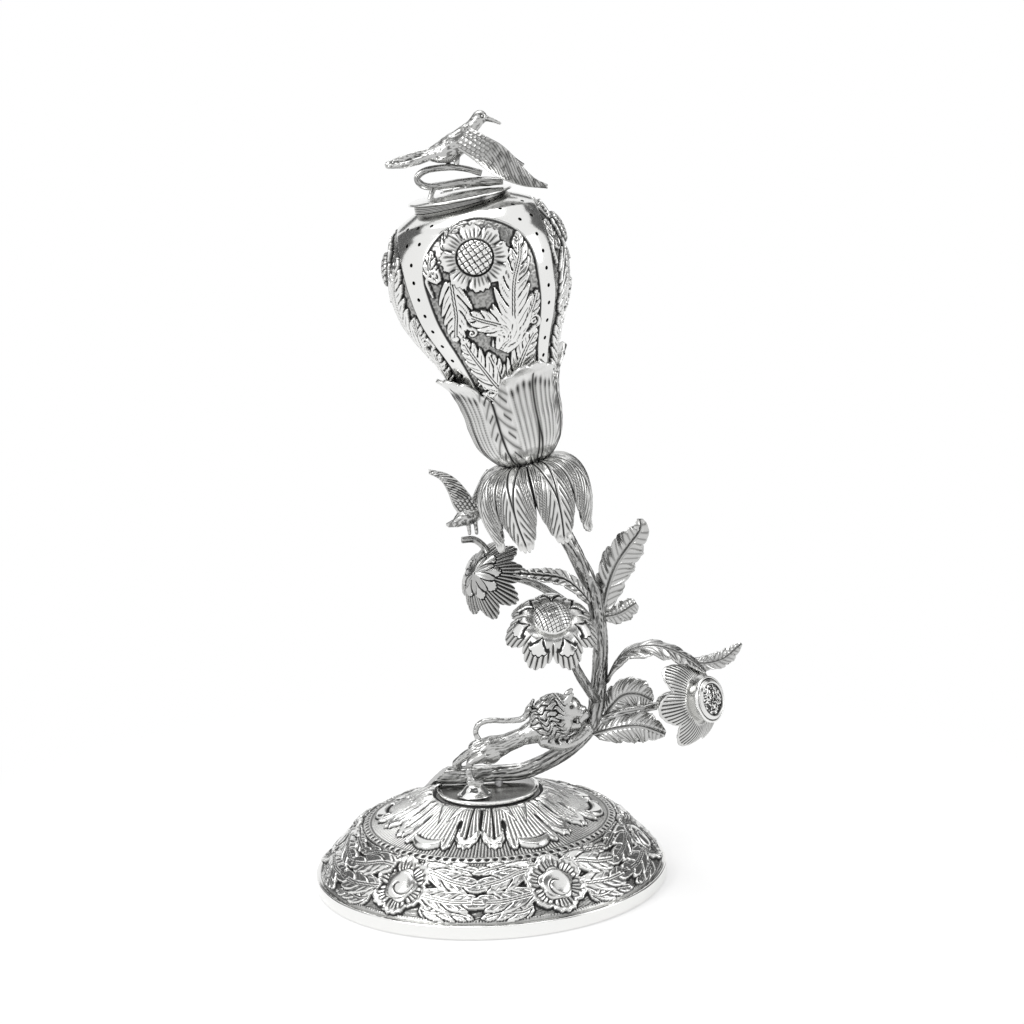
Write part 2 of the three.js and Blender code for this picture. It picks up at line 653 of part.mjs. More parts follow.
function lion() {
  const trunk = rod(
    [[-3.8, -4, 15], [1.5, -4, 15.2], [7, -4, 17], [13, -4, 19.3], [18.6, -4, 21.6], [24, -4, 24]],
    [3.6, 4.9, 3.3, 3.4, 5, 6.6],
    { sides: 8, steps: 10 },
  );
  const mane = egg([23.6, -3.8, 26], [8, 5.6, 9.4], 25);
  const head = egg([30, -3.6, 28.6], [5.6, 4.2, 5]);
  const muzzle = egg([34, -3.6, 28], [2.9, 2.4, 2.2]);
  const jaw = rod([[29, -3.6, 23.6], [34.2, -3.6, 22.2]], [2, 1.2], { steps: 2 });
  const ears = [-6.4, -0.8].map((y) => egg([29.6, y, 33.6], [1.3, 0.8, 1.8]));
  const nearFore = rod([[21, -6, 18], [27, -5.6, 16], [33, -3, 17.4], [37.4, 0, 20.4]], [2.6, 2.2, 1.8, 2.2]);
  const farFore = rod([[24, -1, 20], [31, 0, 20.4], [36.6, 1.4, 25.6]], [2.4, 1.9, 2.1]);
  const nearThigh = egg([1.2, -6.2, 14], [4.6, 2.8, 4.4]);
  const nearHind = rod(
    [[-1.5, -7, 13.4], [-6, -8.4, 12], [-6.5, -9.2, 8.3], [-5.6, moundY, 5], [-4.4, moundY - 0.4, 4]],
    [2.8, 1.8, 1.2, 1.5, 1.7],
  );
  const farHind = rod([[-2.5, -1, 13.5], [-7.5, 0.6, 11.3], [-11.2, 1.8, 8.2], [-10.6, 3, 6]], [2.8, 2, 1.4, 1.7]);
  const tail = rod(
    [[-2, -3.6, 17], [-3.3, -3.2, 21.6], [-1.2, -3, 24.6], [3.6, -3, 25.2], [8.7, -3, 24.7], [13.1, -3.2, 25.2],
      [15.9, -3.4, 28.4], [17.8, -3.6, 31.5]],
    [1.1, 1, 1, 1, 1, 1.2, 1.7, 0.9],
  );
  const body = join(
    trunk, mane, head, muzzle, jaw, ...ears, nearFore, farFore, nearThigh, nearHind, farHind, tail,
  );
  const nearMound = placed(
    revolve([[0, -1], [moundRadius + 1, -1], [0.45 * moundRadius, moundHeight + CLEARANCE],
      [0, moundHeight + CLEARANCE]], 18),
    [moundX, moundY, 0],
  );
  return cut(body, nearBranch, nearMound, twig2);
}
onPlate.add(piece("lion_mound", mound, silver));
onPlate.add(piece("lion", lion(), silver));

// The small bird on its cut twig, soldered to the bell flower's outside
const perch = rod([[5, 10, 80], [3.4, 13, 85], [-0.5, 14.4, 88.6], [-5, 13.6, 89]], [1.3, 1.2]);
function smallBird() {
  const body = rod(
    [[-7, 15.4, 95], [-3.6, 16, 97], [0.6, 16.6, 98.6], [3.8, 17, 101], [5.4, 17.2, 103.4]],
    [1.6, 3.6, 3.3, 2.1, 2.3],
  );
  const beak = rod([[6.4, 17.2, 103.2], [10, 17.4, 102.2]], [1.2, 0.3], { steps: 2 });
  const legs = [-2.6, 0].map((x) => rod([[x, 15.4, 95], [x + 0.3, 14.4, 90.3]], [0.8, 0.8], { steps: 2 }));
  const tail = leaf({
    spine: [[-4.5, 17, 96], [-7.4, 19.5, 94], [-10, 23, 92.5]],
    across: [0.6, 0.2, 0.7],
    halfWidth: 2.4,
    lobes: 1,
    steps: 4,
    tip: 0.8,
  });
  const wing = (tip, across) => leaf({
    spine: [[-1, 15.4, 97.6], ...tip],
    across,
    halfWidth: 4,
    lobes: 2,
    steps: 8,
  });
  return join(
    body,
    beak,
    ...legs,
    tail,
    wing([[-5, 14.4, 103], [-8.4, 14.4, 109.5], [-14.4, 15, 114.8]], [0.85, 0.2, 0.5]),
    wing([[0.6, 19.4, 102], [2, 23, 107], [5, 28, 110.5]], [-0.8, 0.3, 0.5]),
  );
}
const nearPerch = rod([[5, 10, 80], [3.4, 13, 85], [-0.5, 14.4, 88.6], [-5.4, 13.6, 89]],
  [1.3 + CLEARANCE, 1.2 + CLEARANCE]);
onPlate.add(piece("small_bird_perch", cut(perch, nearBell), darkSilver));
onPlate.add(piece("small_bird", cut(smallBird(), nearPerch), darkSilver));

// The fruit is laid out along its own axis from the joint: right, back, up the axis
const fruit = new THREE.Group();
fruit.position.set(JOINT_X, 0, JOINT_RISE);
fruit.rotation.y = -degToRad(LEAN);
onPlate.add(fruit);
const inFruit = (body) => body.translate([-JOINT_X, 0, -JOINT_RISE]).rotate([0, LEAN, 0]);

const shellTop = FRUIT_LENGTH;
const lipRadius = MOUTH_RADIUS + FRUIT_WALL + 1.4;
const fruitCurve = new THREE.SplineCurve([
  [0, FRUIT_BOTTOM],
  [0.27 * FRUIT_RADIUS, FRUIT_BOTTOM + 1.8],
  [0.41 * FRUIT_RADIUS, lerp(FRUIT_BOTTOM, shellTop, 0.09)],
  [0.48 * FRUIT_RADIUS, lerp(FRUIT_BOTTOM, shellTop, 0.18)],
  [0.55 * FRUIT_RADIUS, lerp(FRUIT_BOTTOM, shellTop, 0.27)],
  [0.63 * FRUIT_RADIUS, lerp(FRUIT_BOTTOM, shellTop, 0.36)],
  [0.74 * FRUIT_RADIUS, lerp(FRUIT_BOTTOM, shellTop, 0.45)],
  [0.86 * FRUIT_RADIUS, lerp(FRUIT_BOTTOM, shellTop, 0.535)],
  [0.95 * FRUIT_RADIUS, lerp(FRUIT_BOTTOM, shellTop, 0.62)],
  [FRUIT_RADIUS, lerp(FRUIT_BOTTOM, shellTop, 0.74)],
  [0.985 * FRUIT_RADIUS, lerp(FRUIT_BOTTOM, shellTop, 0.82)],
  [0.93 * FRUIT_RADIUS, lerp(FRUIT_BOTTOM, shellTop, 0.875)],
  [0.85 * FRUIT_RADIUS, lerp(FRUIT_BOTTOM, shellTop, 0.92)],
  [0.745 * FRUIT_RADIUS, lerp(FRUIT_BOTTOM, shellTop, 0.96)],
  [lipRadius, shellTop],
].map(([r, z]) => new THREE.Vector2(r, z)));

// The point of the fruit's outside at a share of its outline, and the direction square to it
function fruitSkin(share) {
  const at = fruitCurve.getPoint(share);
  const along = fruitCurve.getTangent(share);
  return { at, out: new THREE.Vector2(along.y, -along.x) };
}
function fruitShareAt(height) {
  let [low, high] = [0, 1];
  for (let i = 0; i < 30; i++) {
    const middle = (low + high) / 2;
    if (fruitCurve.getPoint(middle).y < height) low = middle;
    else high = middle;
  }
  return low;
}
const fruitRadiusAt = (height) => fruitCurve.getPoint(fruitShareAt(height)).x;

// Piercings in the plain bands between the panels: rows of three and two, then a single file down the band
const PIERCING_PITCH = 6;
const TOP_ROW_HEIGHT = 90.6;
const SECOND_ROW_HEIGHT = 85.7;
const FILE_TOP_HEIGHT = 79.5;
const FILE_COUNT = 8;
const piercingRows = [
  { height: TOP_ROW_HEIGHT, sideways: [-5.9, 0, 5.9] },
  { height: SECOND_ROW_HEIGHT, sideways: [-3, 3] },
  ...Array.from({ length: FILE_COUNT }, (_, i) => ({
    height: FILE_TOP_HEIGHT - PIERCING_PITCH * i,
    sideways: [0],
  })),
];
function piercings() {
  const punch = cylinder(PIERCING_RADIUS, -3 * FRUIT_WALL, 2 * FRUIT_WALL, 4);
  const punches = [];
  for (let band = 0; band < PANEL_COUNT; band++) {
    const bandAngle = -90 + PANEL_TURN + (360 * (band + 0.5)) / PANEL_COUNT;
    for (const { height, sideways } of piercingRows) {
      const { at, out } = fruitSkin(fruitShareAt(height));
      for (const off of sideways) {
        const angle = degToRad(bandAngle) + off / at.x;
        const [c, s] = [Math.cos(angle), Math.sin(angle)];
        punches.push(placed(punch, [at.x * c, at.x * s, at.y], [out.x * c, out.x * s, out.y]));
      }
    }
  }
  return punches;
}

// The chased forms of a panel: a blossom under its arch, and leaves that curl round it from below. Their places are
// degrees from the panel's middle, and heights
const BLOSSOM_RADIUS = 10.4;
const BLOSSOM_HEIGHT = 78;
const LEAF_RISE = 1;
const panelLeaves = [
  { halfWidth: 5, route: [[8, 46], [14, 55], [20, 65], [29, 75]] },
  { halfWidth: 5, route: [[5, 48], [-6, 54], [-16, 60], [-26, 69]] },
];
function fruitRelief() {
  const skin = skinFinder(fruitCurve);
  return Array.from({ length: PANEL_COUNT }, (_, panel) => {
    const middle = PANEL_TURN - 90 + (360 * panel) / PANEL_COUNT;
    const spot = (away, height) => {
      const turn = degToRad(middle + away);
      const radius = fruitRadiusAt(height);
      return point(radius * Math.cos(turn), radius * Math.sin(turn), height);
    };
    const blossom = chasedFlower(skin, spot(-1, BLOSSOM_HEIGHT), [
      [0.4 * BLOSSOM_RADIUS, -RELIEF_ROOT],
      [BLOSSOM_RADIUS, -RELIEF_ROOT],
      [BLOSSOM_RADIUS, 0.8],
      [0.62 * BLOSSOM_RADIUS, 0.2],
      [0.5 * BLOSSOM_RADIUS, 1.1],
      [0.2 * BLOSSOM_RADIUS, 1.5],
    ]);
    const leafForms = panelLeaves.map(({ halfWidth, route }) =>
      chasedLeaf(skin, route.map(([away, height]) => spot(away, height)), halfWidth, LEAF_RISE));
    return [blossom, ...leafForms];
  }).flat();
}

function fruitShell() {
  const steps = 10;
  const outside = [];
  const inside = [];
  for (let i = 0; i <= steps; i++) {
    const { at, out } = fruitSkin(i / steps);
    outside.push([at.x, at.y]);
    if (i > 0) inside.push([Math.max(MOUTH_RADIUS, at.x - FRUIT_WALL * out.x), at.y - FRUIT_WALL * out.y]);
  }
  inside.pop();
  const low = inside.filter(([, z]) => z < 0.8 * shellTop).map(([, z], i) => {
    const { at, out } = fruitSkin((i + 1) / steps);
    return [at.x - FRUIT_WALL * out.x, z];
  });
  const high = inside.slice(low.length);
  const outline = [
    ...outside,
    [MOUTH_RADIUS, shellTop],
    [MOUTH_RADIUS, shellTop - FRUIT_WALL],
    ...high.reverse(),
    ...low.reverse(),
    [0, FRUIT_BOTTOM + FRUIT_WALL],
  ];
  return cut(join(revolve(outline, 24), ...fruitRelief()), ...piercings());
}

// The lower calyx: a socket for the branch's end, with eight drooping leaves
const screwBore = cylinder(CALYX_SCREW_RADIUS + CLEARANCE, -CALYX_SCREW_LENGTH / 2 - 0.5, CALYX_SCREW_LENGTH / 2);
function lowerCalyx() {
  const socketDepth = 8;
  const socket = revolve([
    [0, -socketDepth],
    [CALYX_FOOT_RADIUS - 1.6, -socketDepth],
    [CALYX_FOOT_RADIUS - 0.2, -1],
    [CALYX_FOOT_RADIUS - 0.2, 0],
    [0, 0],
  ], 20);
  const leafRing = rosette({
    count: LOWER_LEAF_COUNT,
    turn: -90 - 180 / LOWER_LEAF_COUNT,
    spine: [[6.4, -0.7], [10.4, -0.5], [14.9, -2], [18.2, -5.4], [20, -10.6], [20, -16.5], [18.4, -23], [15.8, -28.6]],
    notch: 0.42,
    sink: 1.2,
    metal: CALYX_METAL,
    steps: 4,
  });
  return cut(join(socket, leafRing), inFruit(nearBranch), screwBore);
}

// The upper calyx: a cup of upright leaves that the fruit is soldered into, on a solid foot
function upperCalyx() {
  const gap = CLEARANCE + 0.1;
  const seat = gap + CALYX_METAL / 2; // from the fruit's skin to the middle of the leaves' sheet
  const besideFruit = (height, flare) => [fruitRadiusAt(height) + seat + flare, height];
  const cup = rosette({
    count: UPPER_LEAF_COUNT,
    turn: UPPER_LEAF_TURN,
    spine: [
      [CALYX_FOOT_RADIUS - 0.6, 0.9],
      [11, 2.7],
      [13.6, 6],
      [15.4, 10],
      [16.6, 15.5],
      besideFruit(23, 0.6),
      besideFruit(29, 0.4),
      besideFruit(34.4, 2.3),
      besideFruit(36.6, 4.2),
    ],
    notch: 0.4,
    sink: 0,
    metal: CALYX_METAL,
    samples: 6,
    steps: 6,
  });
  const foot = revolve([
    [0, CLEARANCE],
    [CALYX_FOOT_RADIUS - 0.7, CLEARANCE],
    [CALYX_FOOT_RADIUS + 1.3, 2.4],
    [CALYX_FOOT_RADIUS + 3, 4.2],
    [fruitRadiusAt(5.2) + gap, 5.2],
    [0.2 * FRUIT_RADIUS, FRUIT_BOTTOM - gap],
    [0, FRUIT_BOTTOM - gap],
  ], 20);
  return cut(join(cup, foot), screwBore);
}

const calyxScrew = cylinder(
  CALYX_SCREW_RADIUS,
  -CALYX_SCREW_LENGTH / 2,
  CALYX_SCREW_LENGTH / 2 - CLEARANCE,
);

fruit.add(piece("lower_calyx", lowerCalyx(), silver));
fruit.add(piece("calyx_screw", calyxScrew, steel));
fruit.add(piece("upper_calyx", upperCalyx(), silver));
fruit.add(piece("fruit_shell", fruitShell(), silver));

// The mouth ring, with the fixed knuckles of the hinge. It and the lid are laid out from the middle of the ring's
// underside: right, back, up
const mouth = new THREE.Group();
mouth.position.z = shellTop + CLEARANCE;
mouth.rotation.y = degToRad(MOUTH_TILT);
fruit.add(mouth);

const ringTop = MOUTH_RING_HEIGHT;
const lidBase = ringTop + CLEARANCE;
const lidTop = lidBase + LID_EDGE;
const hingeBack = LID_RADIUS + KNUCKLE_RADIUS + 0.4;
const hingeHeight = lidBase + LID_EDGE / 2;
const lidKnuckle = HINGE_LENGTH / 3;
const sideKnuckle = (HINGE_LENGTH - lidKnuckle - 2 * CLEARANCE) / 2;

// A length of hinge tube along the hinge's axis
const alongHinge = (radius, from, to, sides = 12) =>
  placed(cylinder(radius, from, to, sides), [0, hingeBack, hingeHeight], [1, 0, 0]);
const pinHole = alongHinge(PIN_RADIUS + PIN_PLAY, -HINGE_LENGTH, HINGE_LENGTH);

function block([lowX, lowY, lowZ], [highX, highY, highZ]) {
  const box = new THREE.BoxGeometry(highX - lowX, highY - lowY, highZ - lowZ);
  return solid(box.translate((lowX + highX) / 2, (lowY + highY) / 2, (lowZ + highZ) / 2));
}

function mouthRing() {
  const stock = -MOUTH_RING_HEIGHT; // how low the ring reaches before it is filed flat to sit on the shell
  const ring = revolve([
    [MOUTH_RADIUS, stock],
    [MOUTH_RING_RADIUS, stock],
    [MOUTH_RING_RADIUS, ringTop],
    [MOUTH_RADIUS, ringTop],
  ], 24);
  const starts = [-HINGE_LENGTH / 2, HINGE_LENGTH / 2 - sideKnuckle];
  const tabs = starts.map((x) => block([x, MOUTH_RADIUS + 0.6, stock], [x + sideKnuckle, hingeBack, ringTop]));
  const filed = block([-2 * LID_RADIUS, -2 * LID_RADIUS, -LID_RADIUS], [2 * LID_RADIUS, 2 * LID_RADIUS, 0]);
  const band = cut(join(ring, ...tabs), filed.rotate([0, -MOUTH_TILT, 0]));
  return cut(join(band, ...starts.map((x) => alongHinge(KNUCKLE_RADIUS, x, x + sideKnuckle))), pinHole);
}

function lid() {
  const bezelOutside = MOUTH_RADIUS - BEZEL_GAP;
  const bezelInside = bezelOutside - BEZEL_WALL;
  const plate = revolve([
    [0, lidBase],
    [bezelInside, lidBase],
    [bezelInside, lidBase - BEZEL_DEPTH],
    [bezelOutside, lidBase - BEZEL_DEPTH],
    [bezelOutside, lidBase],
    [LID_RADIUS, lidBase],
    [LID_RADIUS, lidTop - 0.3],
    [LID_RADIUS - 0.6, lidTop],
    [0.8 * LID_RADIUS, lidTop],
    [0.76 * LID_RADIUS, lidTop + 0.5],
    [0.4 * LID_RADIUS, lidTop + 0.9 * LID_CROWN],
    [0, lidTop + LID_CROWN],
  ], 24);
  const half = lidKnuckle / 2;
  const tab = block([-half, LID_RADIUS - 1.5, lidBase], [half, hingeBack, lidTop]);
  return cut(join(plate, tab, alongHinge(KNUCKLE_RADIUS, -half, half)), pinHole);
}

const hingePin = join(
  alongHinge(PIN_RADIUS, -HINGE_LENGTH / 2 - 0.6, HINGE_LENGTH / 2 + 0.6),
  ...[-1, 1].map((side) => {
    const inner = side * (HINGE_LENGTH / 2 + CLEARANCE);
    const outer = side * (HINGE_LENGTH / 2 + CLEARANCE + 0.6);
    return alongHinge(PIN_RADIUS + 0.6, Math.min(inner, outer), Math.max(inner, outer));
  }),
);

mouth.add(piece("mouth_ring", mouthRing(), silver));
mouth.add(piece("hinge_pin", hingePin, steel));
mouth.add(piece("lid", lid(), silver));

// The knob stands square to the fruit, not to the lid, and is laid out from the middle of the lid's crown
const onLid = new THREE.Group();
onLid.position.z = lidTop + LID_CROWN;
onLid.rotation.y = -degToRad(MOUTH_TILT);
mouth.add(onLid);

const lidTwigRoute = [
  [9, 0, 4],
  [4.3, 0, 6.6],
  [-0.6, 0, 8.4],
  [-6, 0, 9.4],
  [-10.6, 0, 9.3],
  [-13, 0, 7.4],
  [-11.6, 0, 4.8],
  [-8.3, 0, 3.5],
  [-2.5, 0, 2.8],
  [3.2, 0, 2.1],
  [9, 0, 1],
  [15.6, 0, -0.4],
];
const lidTwigRadii = [1.1, 1.1, 1.2, 1.2, 1.2, 1.2, 1.3, 1.4, 1.5, 1.7, 1.7, 1.3];
const lidTwigRod = (grow = 0) =>
  rod(lidTwigRoute, lidTwigRadii.map((r) => r + grow), { steps: 22 });
function lidTwig() {
  const prong = rod([[-8, 0, 3.4], [-9, -1, 2], [-10.8, -2, -1]], [1.1, 0.9, 1]);
  const nearLid = revolve([
    [0, -LID_CROWN - 2],
    [LID_RADIUS + 1, -LID_CROWN - 2],
    [LID_RADIUS + 1, CLEARANCE - LID_CROWN],
    [0.82 * LID_RADIUS, CLEARANCE - LID_CROWN],
    [0.78 * LID_RADIUS, CLEARANCE - LID_CROWN + 0.5],
    [0.4 * LID_RADIUS, CLEARANCE - 0.1 * LID_CROWN],
    [0, CLEARANCE],
  ], 24);
  return cut(join(lidTwigRod(), prong), nearLid.rotate([0, MOUTH_TILT, 0]));
}

// A wing spread between its front edge and its back edge, with a slight bow
function wing(frontEdge, backEdge, bow) {
  const front = new THREE.CatmullRomCurve3(frontEdge.map((p) => point(...p)));
  const back = new THREE.CatmullRomCurve3(backEdge.map((p) => point(...p)));
  const middle = (u, v) => {
    const at = front.getPoint(u).lerp(back.getPoint(u), v);
    at.y += bow * Math.sin(Math.PI * v) * (1 - 0.7 * u);
    return at;
  };
  return sheet(middle, 8, 3, LEAF_METAL);
}

function knobBird() {
  const body = rod(
    [[-8.4, 0, 13.2], [-3, 0, 13.4], [2.4, 0, 14.8], [7.6, 0, 18.1], [11, 0, 21], [13.2, 0, 22.8], [15, 0, 22.2]],
    [1.4, 3.5, 4.6, 3.4, 2.3, 2.6, 1.6],
    { sides: 8, steps: 12 },
  );
  const beak = rod([[14.6, 0, 22], [17, 0, 20.9], [19.8, 0, 19]], [1.3, 0.8, 0.4], { steps: 3 });
  const tail = leaf({
    spine: [[-6, 0, 13.4], [-13, 0, 14], [-21.4, 0, 14.3]],
    across: [0, 1, -0.55],
    halfWidth: 3.4,
    metal: 1.2,
    lobes: 1,
    steps: 6,
    tip: 0.75,
  });
  const nearWing = wing(
    [[8, -2.6, 20.6], [11.9, -5, 17.6], [16.4, -6, 13.9], [20.3, -6.5, 10.4], [23.6, -6.5, 4.2], [27.2, -6, -1.6],
      [30.6, -6, -4.6]],
    [[3.6, -2.6, 14.9], [7.5, -4.5, 10.8], [10.6, -5.5, 6.6], [13.6, -6, 3.4], [17, -6.6, 1.4], [20.4, -6.6, -0.4],
      [30, -6, -5.4]],
    -1.6,
  );
  const farWing = wing(
    [[7.6, 2.6, 20.4], [11, 5, 17.4], [15, 6.6, 14], [18.4, 7.8, 10.6], [21.4, 8.4, 5.8], [24, 8.8, 2.4]],
    [[3.2, 2.6, 14.9], [7, 4.5, 11.4], [10.4, 6, 8], [13.6, 7.4, 5.6], [17.4, 8.2, 3.8], [23.4, 8.8, 1.8]],
    1.4,
  );
  return cut(join(body, beak, tail, nearWing, farWing), lidTwigRod(CLEARANCE));
}
onLid.add(piece("knob_twig", lidTwig(), darkSilver));
onLid.add(piece("knob_bird", knobBird(), silver));

// The origin is under the middle of the whole outline, at the level that the foot stands on
const outline = new THREE.Box3().setFromObject(part);
const middle = outline.getCenter(point(0, 0, 0));
part.position.set(-middle.x, -middle.y, -outline.min.z);
part.updateMatrixWorld(true);

export default part;
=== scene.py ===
import bpy
import numpy as np
from mathutils import Matrix, Vector


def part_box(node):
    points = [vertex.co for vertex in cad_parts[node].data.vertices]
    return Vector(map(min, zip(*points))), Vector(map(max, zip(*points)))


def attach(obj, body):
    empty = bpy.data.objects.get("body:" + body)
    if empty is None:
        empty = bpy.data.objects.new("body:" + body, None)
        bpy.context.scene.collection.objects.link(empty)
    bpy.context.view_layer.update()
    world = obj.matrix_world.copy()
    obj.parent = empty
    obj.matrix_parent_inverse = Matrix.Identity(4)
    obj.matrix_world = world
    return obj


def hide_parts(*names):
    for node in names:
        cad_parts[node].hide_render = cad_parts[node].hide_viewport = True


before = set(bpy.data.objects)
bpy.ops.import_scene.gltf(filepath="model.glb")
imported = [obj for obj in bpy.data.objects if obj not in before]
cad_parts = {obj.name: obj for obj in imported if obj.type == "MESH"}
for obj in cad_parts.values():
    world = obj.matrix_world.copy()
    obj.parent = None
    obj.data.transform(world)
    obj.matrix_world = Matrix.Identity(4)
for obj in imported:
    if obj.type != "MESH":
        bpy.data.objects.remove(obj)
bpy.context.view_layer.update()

# The table and the light tent.
# A white sweep carries the piece. Large soft lamps and a bright tent light it, with darker panels in the tent
# that give the polished silver something to show. The camera stands 0.9 m off and a little above the lid.
rim_low, rim_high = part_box("foot_rim")
foot_middle = np.array([(rim_low.x + rim_high.x) / 2, (rim_low.y + rim_high.y) / 2, 0.0])


def in_metres(points):
    """Places in the model's frame, from places in millimetres about the middle of the foot."""
    return np.asarray(points, float) / 1000 + foot_middle


CAMERA_AT = (0, -900, 330)
CAMERA_PITCH = 12.186  # degrees, downwards
CAMERA_TURN = 0.836
CAMERA_ROLL = -2.5
CAMERA_LENS = 91.05

pitch, turn, roll = np.radians([CAMERA_PITCH, CAMERA_TURN, CAMERA_ROLL])
forward = Vector((np.sin(turn) * np.cos(pitch), np.cos(turn) * np.cos(pitch), -np.sin(pitch)))
level = Vector((np.cos(turn), -np.sin(turn), 0))
upright = level.cross(forward)
camera_right = level * np.cos(roll) + upright * np.sin(roll)
camera_up = upright * np.cos(roll) - level * np.sin(roll)
camera_data = bpy.data.cameras.new("camera")
camera_data.lens = CAMERA_LENS
camera_data.sensor_width = 36
camera_data.clip_end = 20
camera = bpy.data.objects.new("camera", camera_data)
camera.matrix_world = Matrix.Translation(in_metres(CAMERA_AT)) @ Matrix(
    (camera_right, camera_up, -forward)
).transposed().to_4x4()
bpy.context.scene.collection.objects.link(camera)
bpy.context.scene.camera = camera
bpy.context.scene.view_settings.view_transform = "Standard"


def new_material(name):
    """A material without nodes but its output: itself, its nodes, their links, and the output."""
    material = bpy.data.materials.new(name)
    material.use_nodes = True
    nodes = material.node_tree.nodes
    nodes.clear()
    return material, nodes, material.node_tree.links, nodes.new("ShaderNodeOutputMaterial")


def add_node(nodes, kind, **values):
    """A shader node, with plain values on the sockets named."""
    node = nodes.new("ShaderNode" + kind)
    for socket, value in values.items():
        node.inputs[socket.replace("_", " ")].default_value = value
    return node


def add_math(nodes, links, operation, *terms):
    """The outcome of a sum or product, of sockets and plain numbers."""
    node = nodes.new("ShaderNodeMath")
    node.operation = operation
    for socket, term in zip(node.inputs, terms):
        if isinstance(term, (int, float)):
            socket.default_value = term
        else:
            links.new(term, socket)
    return node.outputs[0]


def seen_rays(nodes, links):
    """1 for what the camera sees, straight or in metal or glass, and 0 for light on its way round."""
    rays = nodes.new("ShaderNodeLightPath")
    seen = add_math(nodes, links, "MAXIMUM", rays.outputs["Is Camera Ray"], rays.outputs["Is Glossy Ray"])
    return add_math(nodes, links, "MAXIMUM", seen, rays.outputs["Is Transmission Ray"])


def mix_out(nodes, links, share, first, second, output):
    """Sends two shaders to the output, the second of them in the given share."""
    both = nodes.new("ShaderNodeMixShader")
    links.new(share, both.inputs["Fac"])
    links.new(first.outputs[0], both.inputs[1])
    links.new(second.outputs[0], both.inputs[2])
    links.new(both.outputs[0], output.inputs["Surface"])


def flat_panel(name, width, height, material):
    """A flat rectangle round its own middle."""
    mesh = bpy.data.meshes.new(name)
    corners = [(x * width / 2, y * height / 2, 0) for x, y in ((-1, -1), (1, -1), (1, 1), (-1, 1))]
    mesh.from_pydata(corners, [], [(0, 1, 2, 3)])
    mesh.materials.append(material)
    panel = bpy.data.objects.new(name, mesh)
    bpy.context.scene.collection.objects.link(panel)
    return panel


def stand_facing(thing, stands, aim, front):
    """Puts a card or a lamp somewhere, with its front towards a place."""
    thing.location = stands
    thing.rotation_euler = (aim - stands).to_track_quat(front, "Y").to_euler()


WHITE = (1, 1, 1, 1)
PAPER_TONE = 0.96
TABLE_SIZE = 8.0  # metres
TABLE_BELOW = 0.0002  # metres under the foot, so that the two don't share a plane
WHITE_NEAR = 0.40  # of the table's look that is plain white beside the foot; the rest takes light and shadow
WHITE_FROM, WHITE_AT = 0.09, 0.26  # metres from the middle over which the table turns plain white

table_paper, nodes, links, output = new_material("table_paper")
paper = add_node(nodes, "BsdfDiffuse", Color=(PAPER_TONE, PAPER_TONE, PAPER_TONE, 1))
grain = add_node(nodes, "TexNoise", Scale=900)
grain_bump = add_node(nodes, "Bump", Strength=0.02)
links.new(grain.outputs["Fac"], grain_bump.inputs["Height"])
links.new(grain_bump.outputs["Normal"], paper.inputs["Normal"])
glow = add_node(nodes, "Emission", Color=WHITE)
spot = nodes.new("ShaderNodeNewGeometry")
away = nodes.new("ShaderNodeVectorMath")
away.operation = "DISTANCE"
away.inputs[1].default_value = (foot_middle[0], foot_middle[1], 0)
links.new(spot.outputs["Position"], away.inputs[0])
whiter = add_node(nodes, "MapRange", From_Min=WHITE_FROM, From_Max=WHITE_AT, To_Min=WHITE_NEAR, To_Max=1)
whiter.interpolation_type = "SMOOTHSTEP"
links.new(away.outputs["Value"], whiter.inputs["Value"])
plain_white = add_math(nodes, links, "MULTIPLY", seen_rays(nodes, links), whiter.outputs[0])
mix_out(nodes, links, plain_white, paper, glow, output)

table = flat_panel("table", TABLE_SIZE, TABLE_SIZE, table_paper)
table.location.z = -TABLE_BELOW

TENT_LEVEL = 0.66
tent = bpy.data.worlds.new("light_tent")
bpy.context.scene.world = tent
tent.use_nodes = True
nodes, links = tent.node_tree.nodes, tent.node_tree.links
nodes.clear()
output = nodes.new("ShaderNodeOutputWorld")
lit = add_node(nodes, "Background", Color=WHITE, Strength=TENT_LEVEL)
plain = add_node(nodes, "Background", Color=WHITE)
mix_out(nodes, links, seen_rays(nodes, links), lit, plain, output)

FELT_TONE = 0.13
card_felt, nodes, links, output = new_material("card_felt")
felt = add_node(nodes, "BsdfDiffuse", Color=(FELT_TONE, FELT_TONE, FELT_TONE, 1))
links.new(felt.outputs[0], output.inputs["Surface"])
CARDS = {
    # name: degrees round from the right, degrees up, width and height in metres
    "card_back_left": (142, 14, 0.9, 1.6),
    "card_back_right": (40, 14, 1.1, 1.7),
    "card_front_right": (-36, 18, 0.45, 1.5),
    "card_front_left": (-138, 48, 0.7, 0.6),
    "card_above": (-80, 64, 1.3, 0.42),
    "card_back_middle": (96, 21, 1.0, 0.22),
}
CARD_AWAY = 1.4  # metres
CARD_AIM = Vector(in_metres((0, 0, 140)))
for card_name, (round_by, up_by, width, height) in CARDS.items():
    card = flat_panel(card_name, width, height, card_felt)
    a, e = np.radians([round_by, up_by])
    way = Vector((np.cos(a) * np.cos(e), np.sin(a) * np.cos(e), np.sin(e)))
    stand_facing(card, CARD_AIM + CARD_AWAY * way, CARD_AIM, "Z")
    card.visible_camera = card.visible_diffuse = card.visible_shadow = False

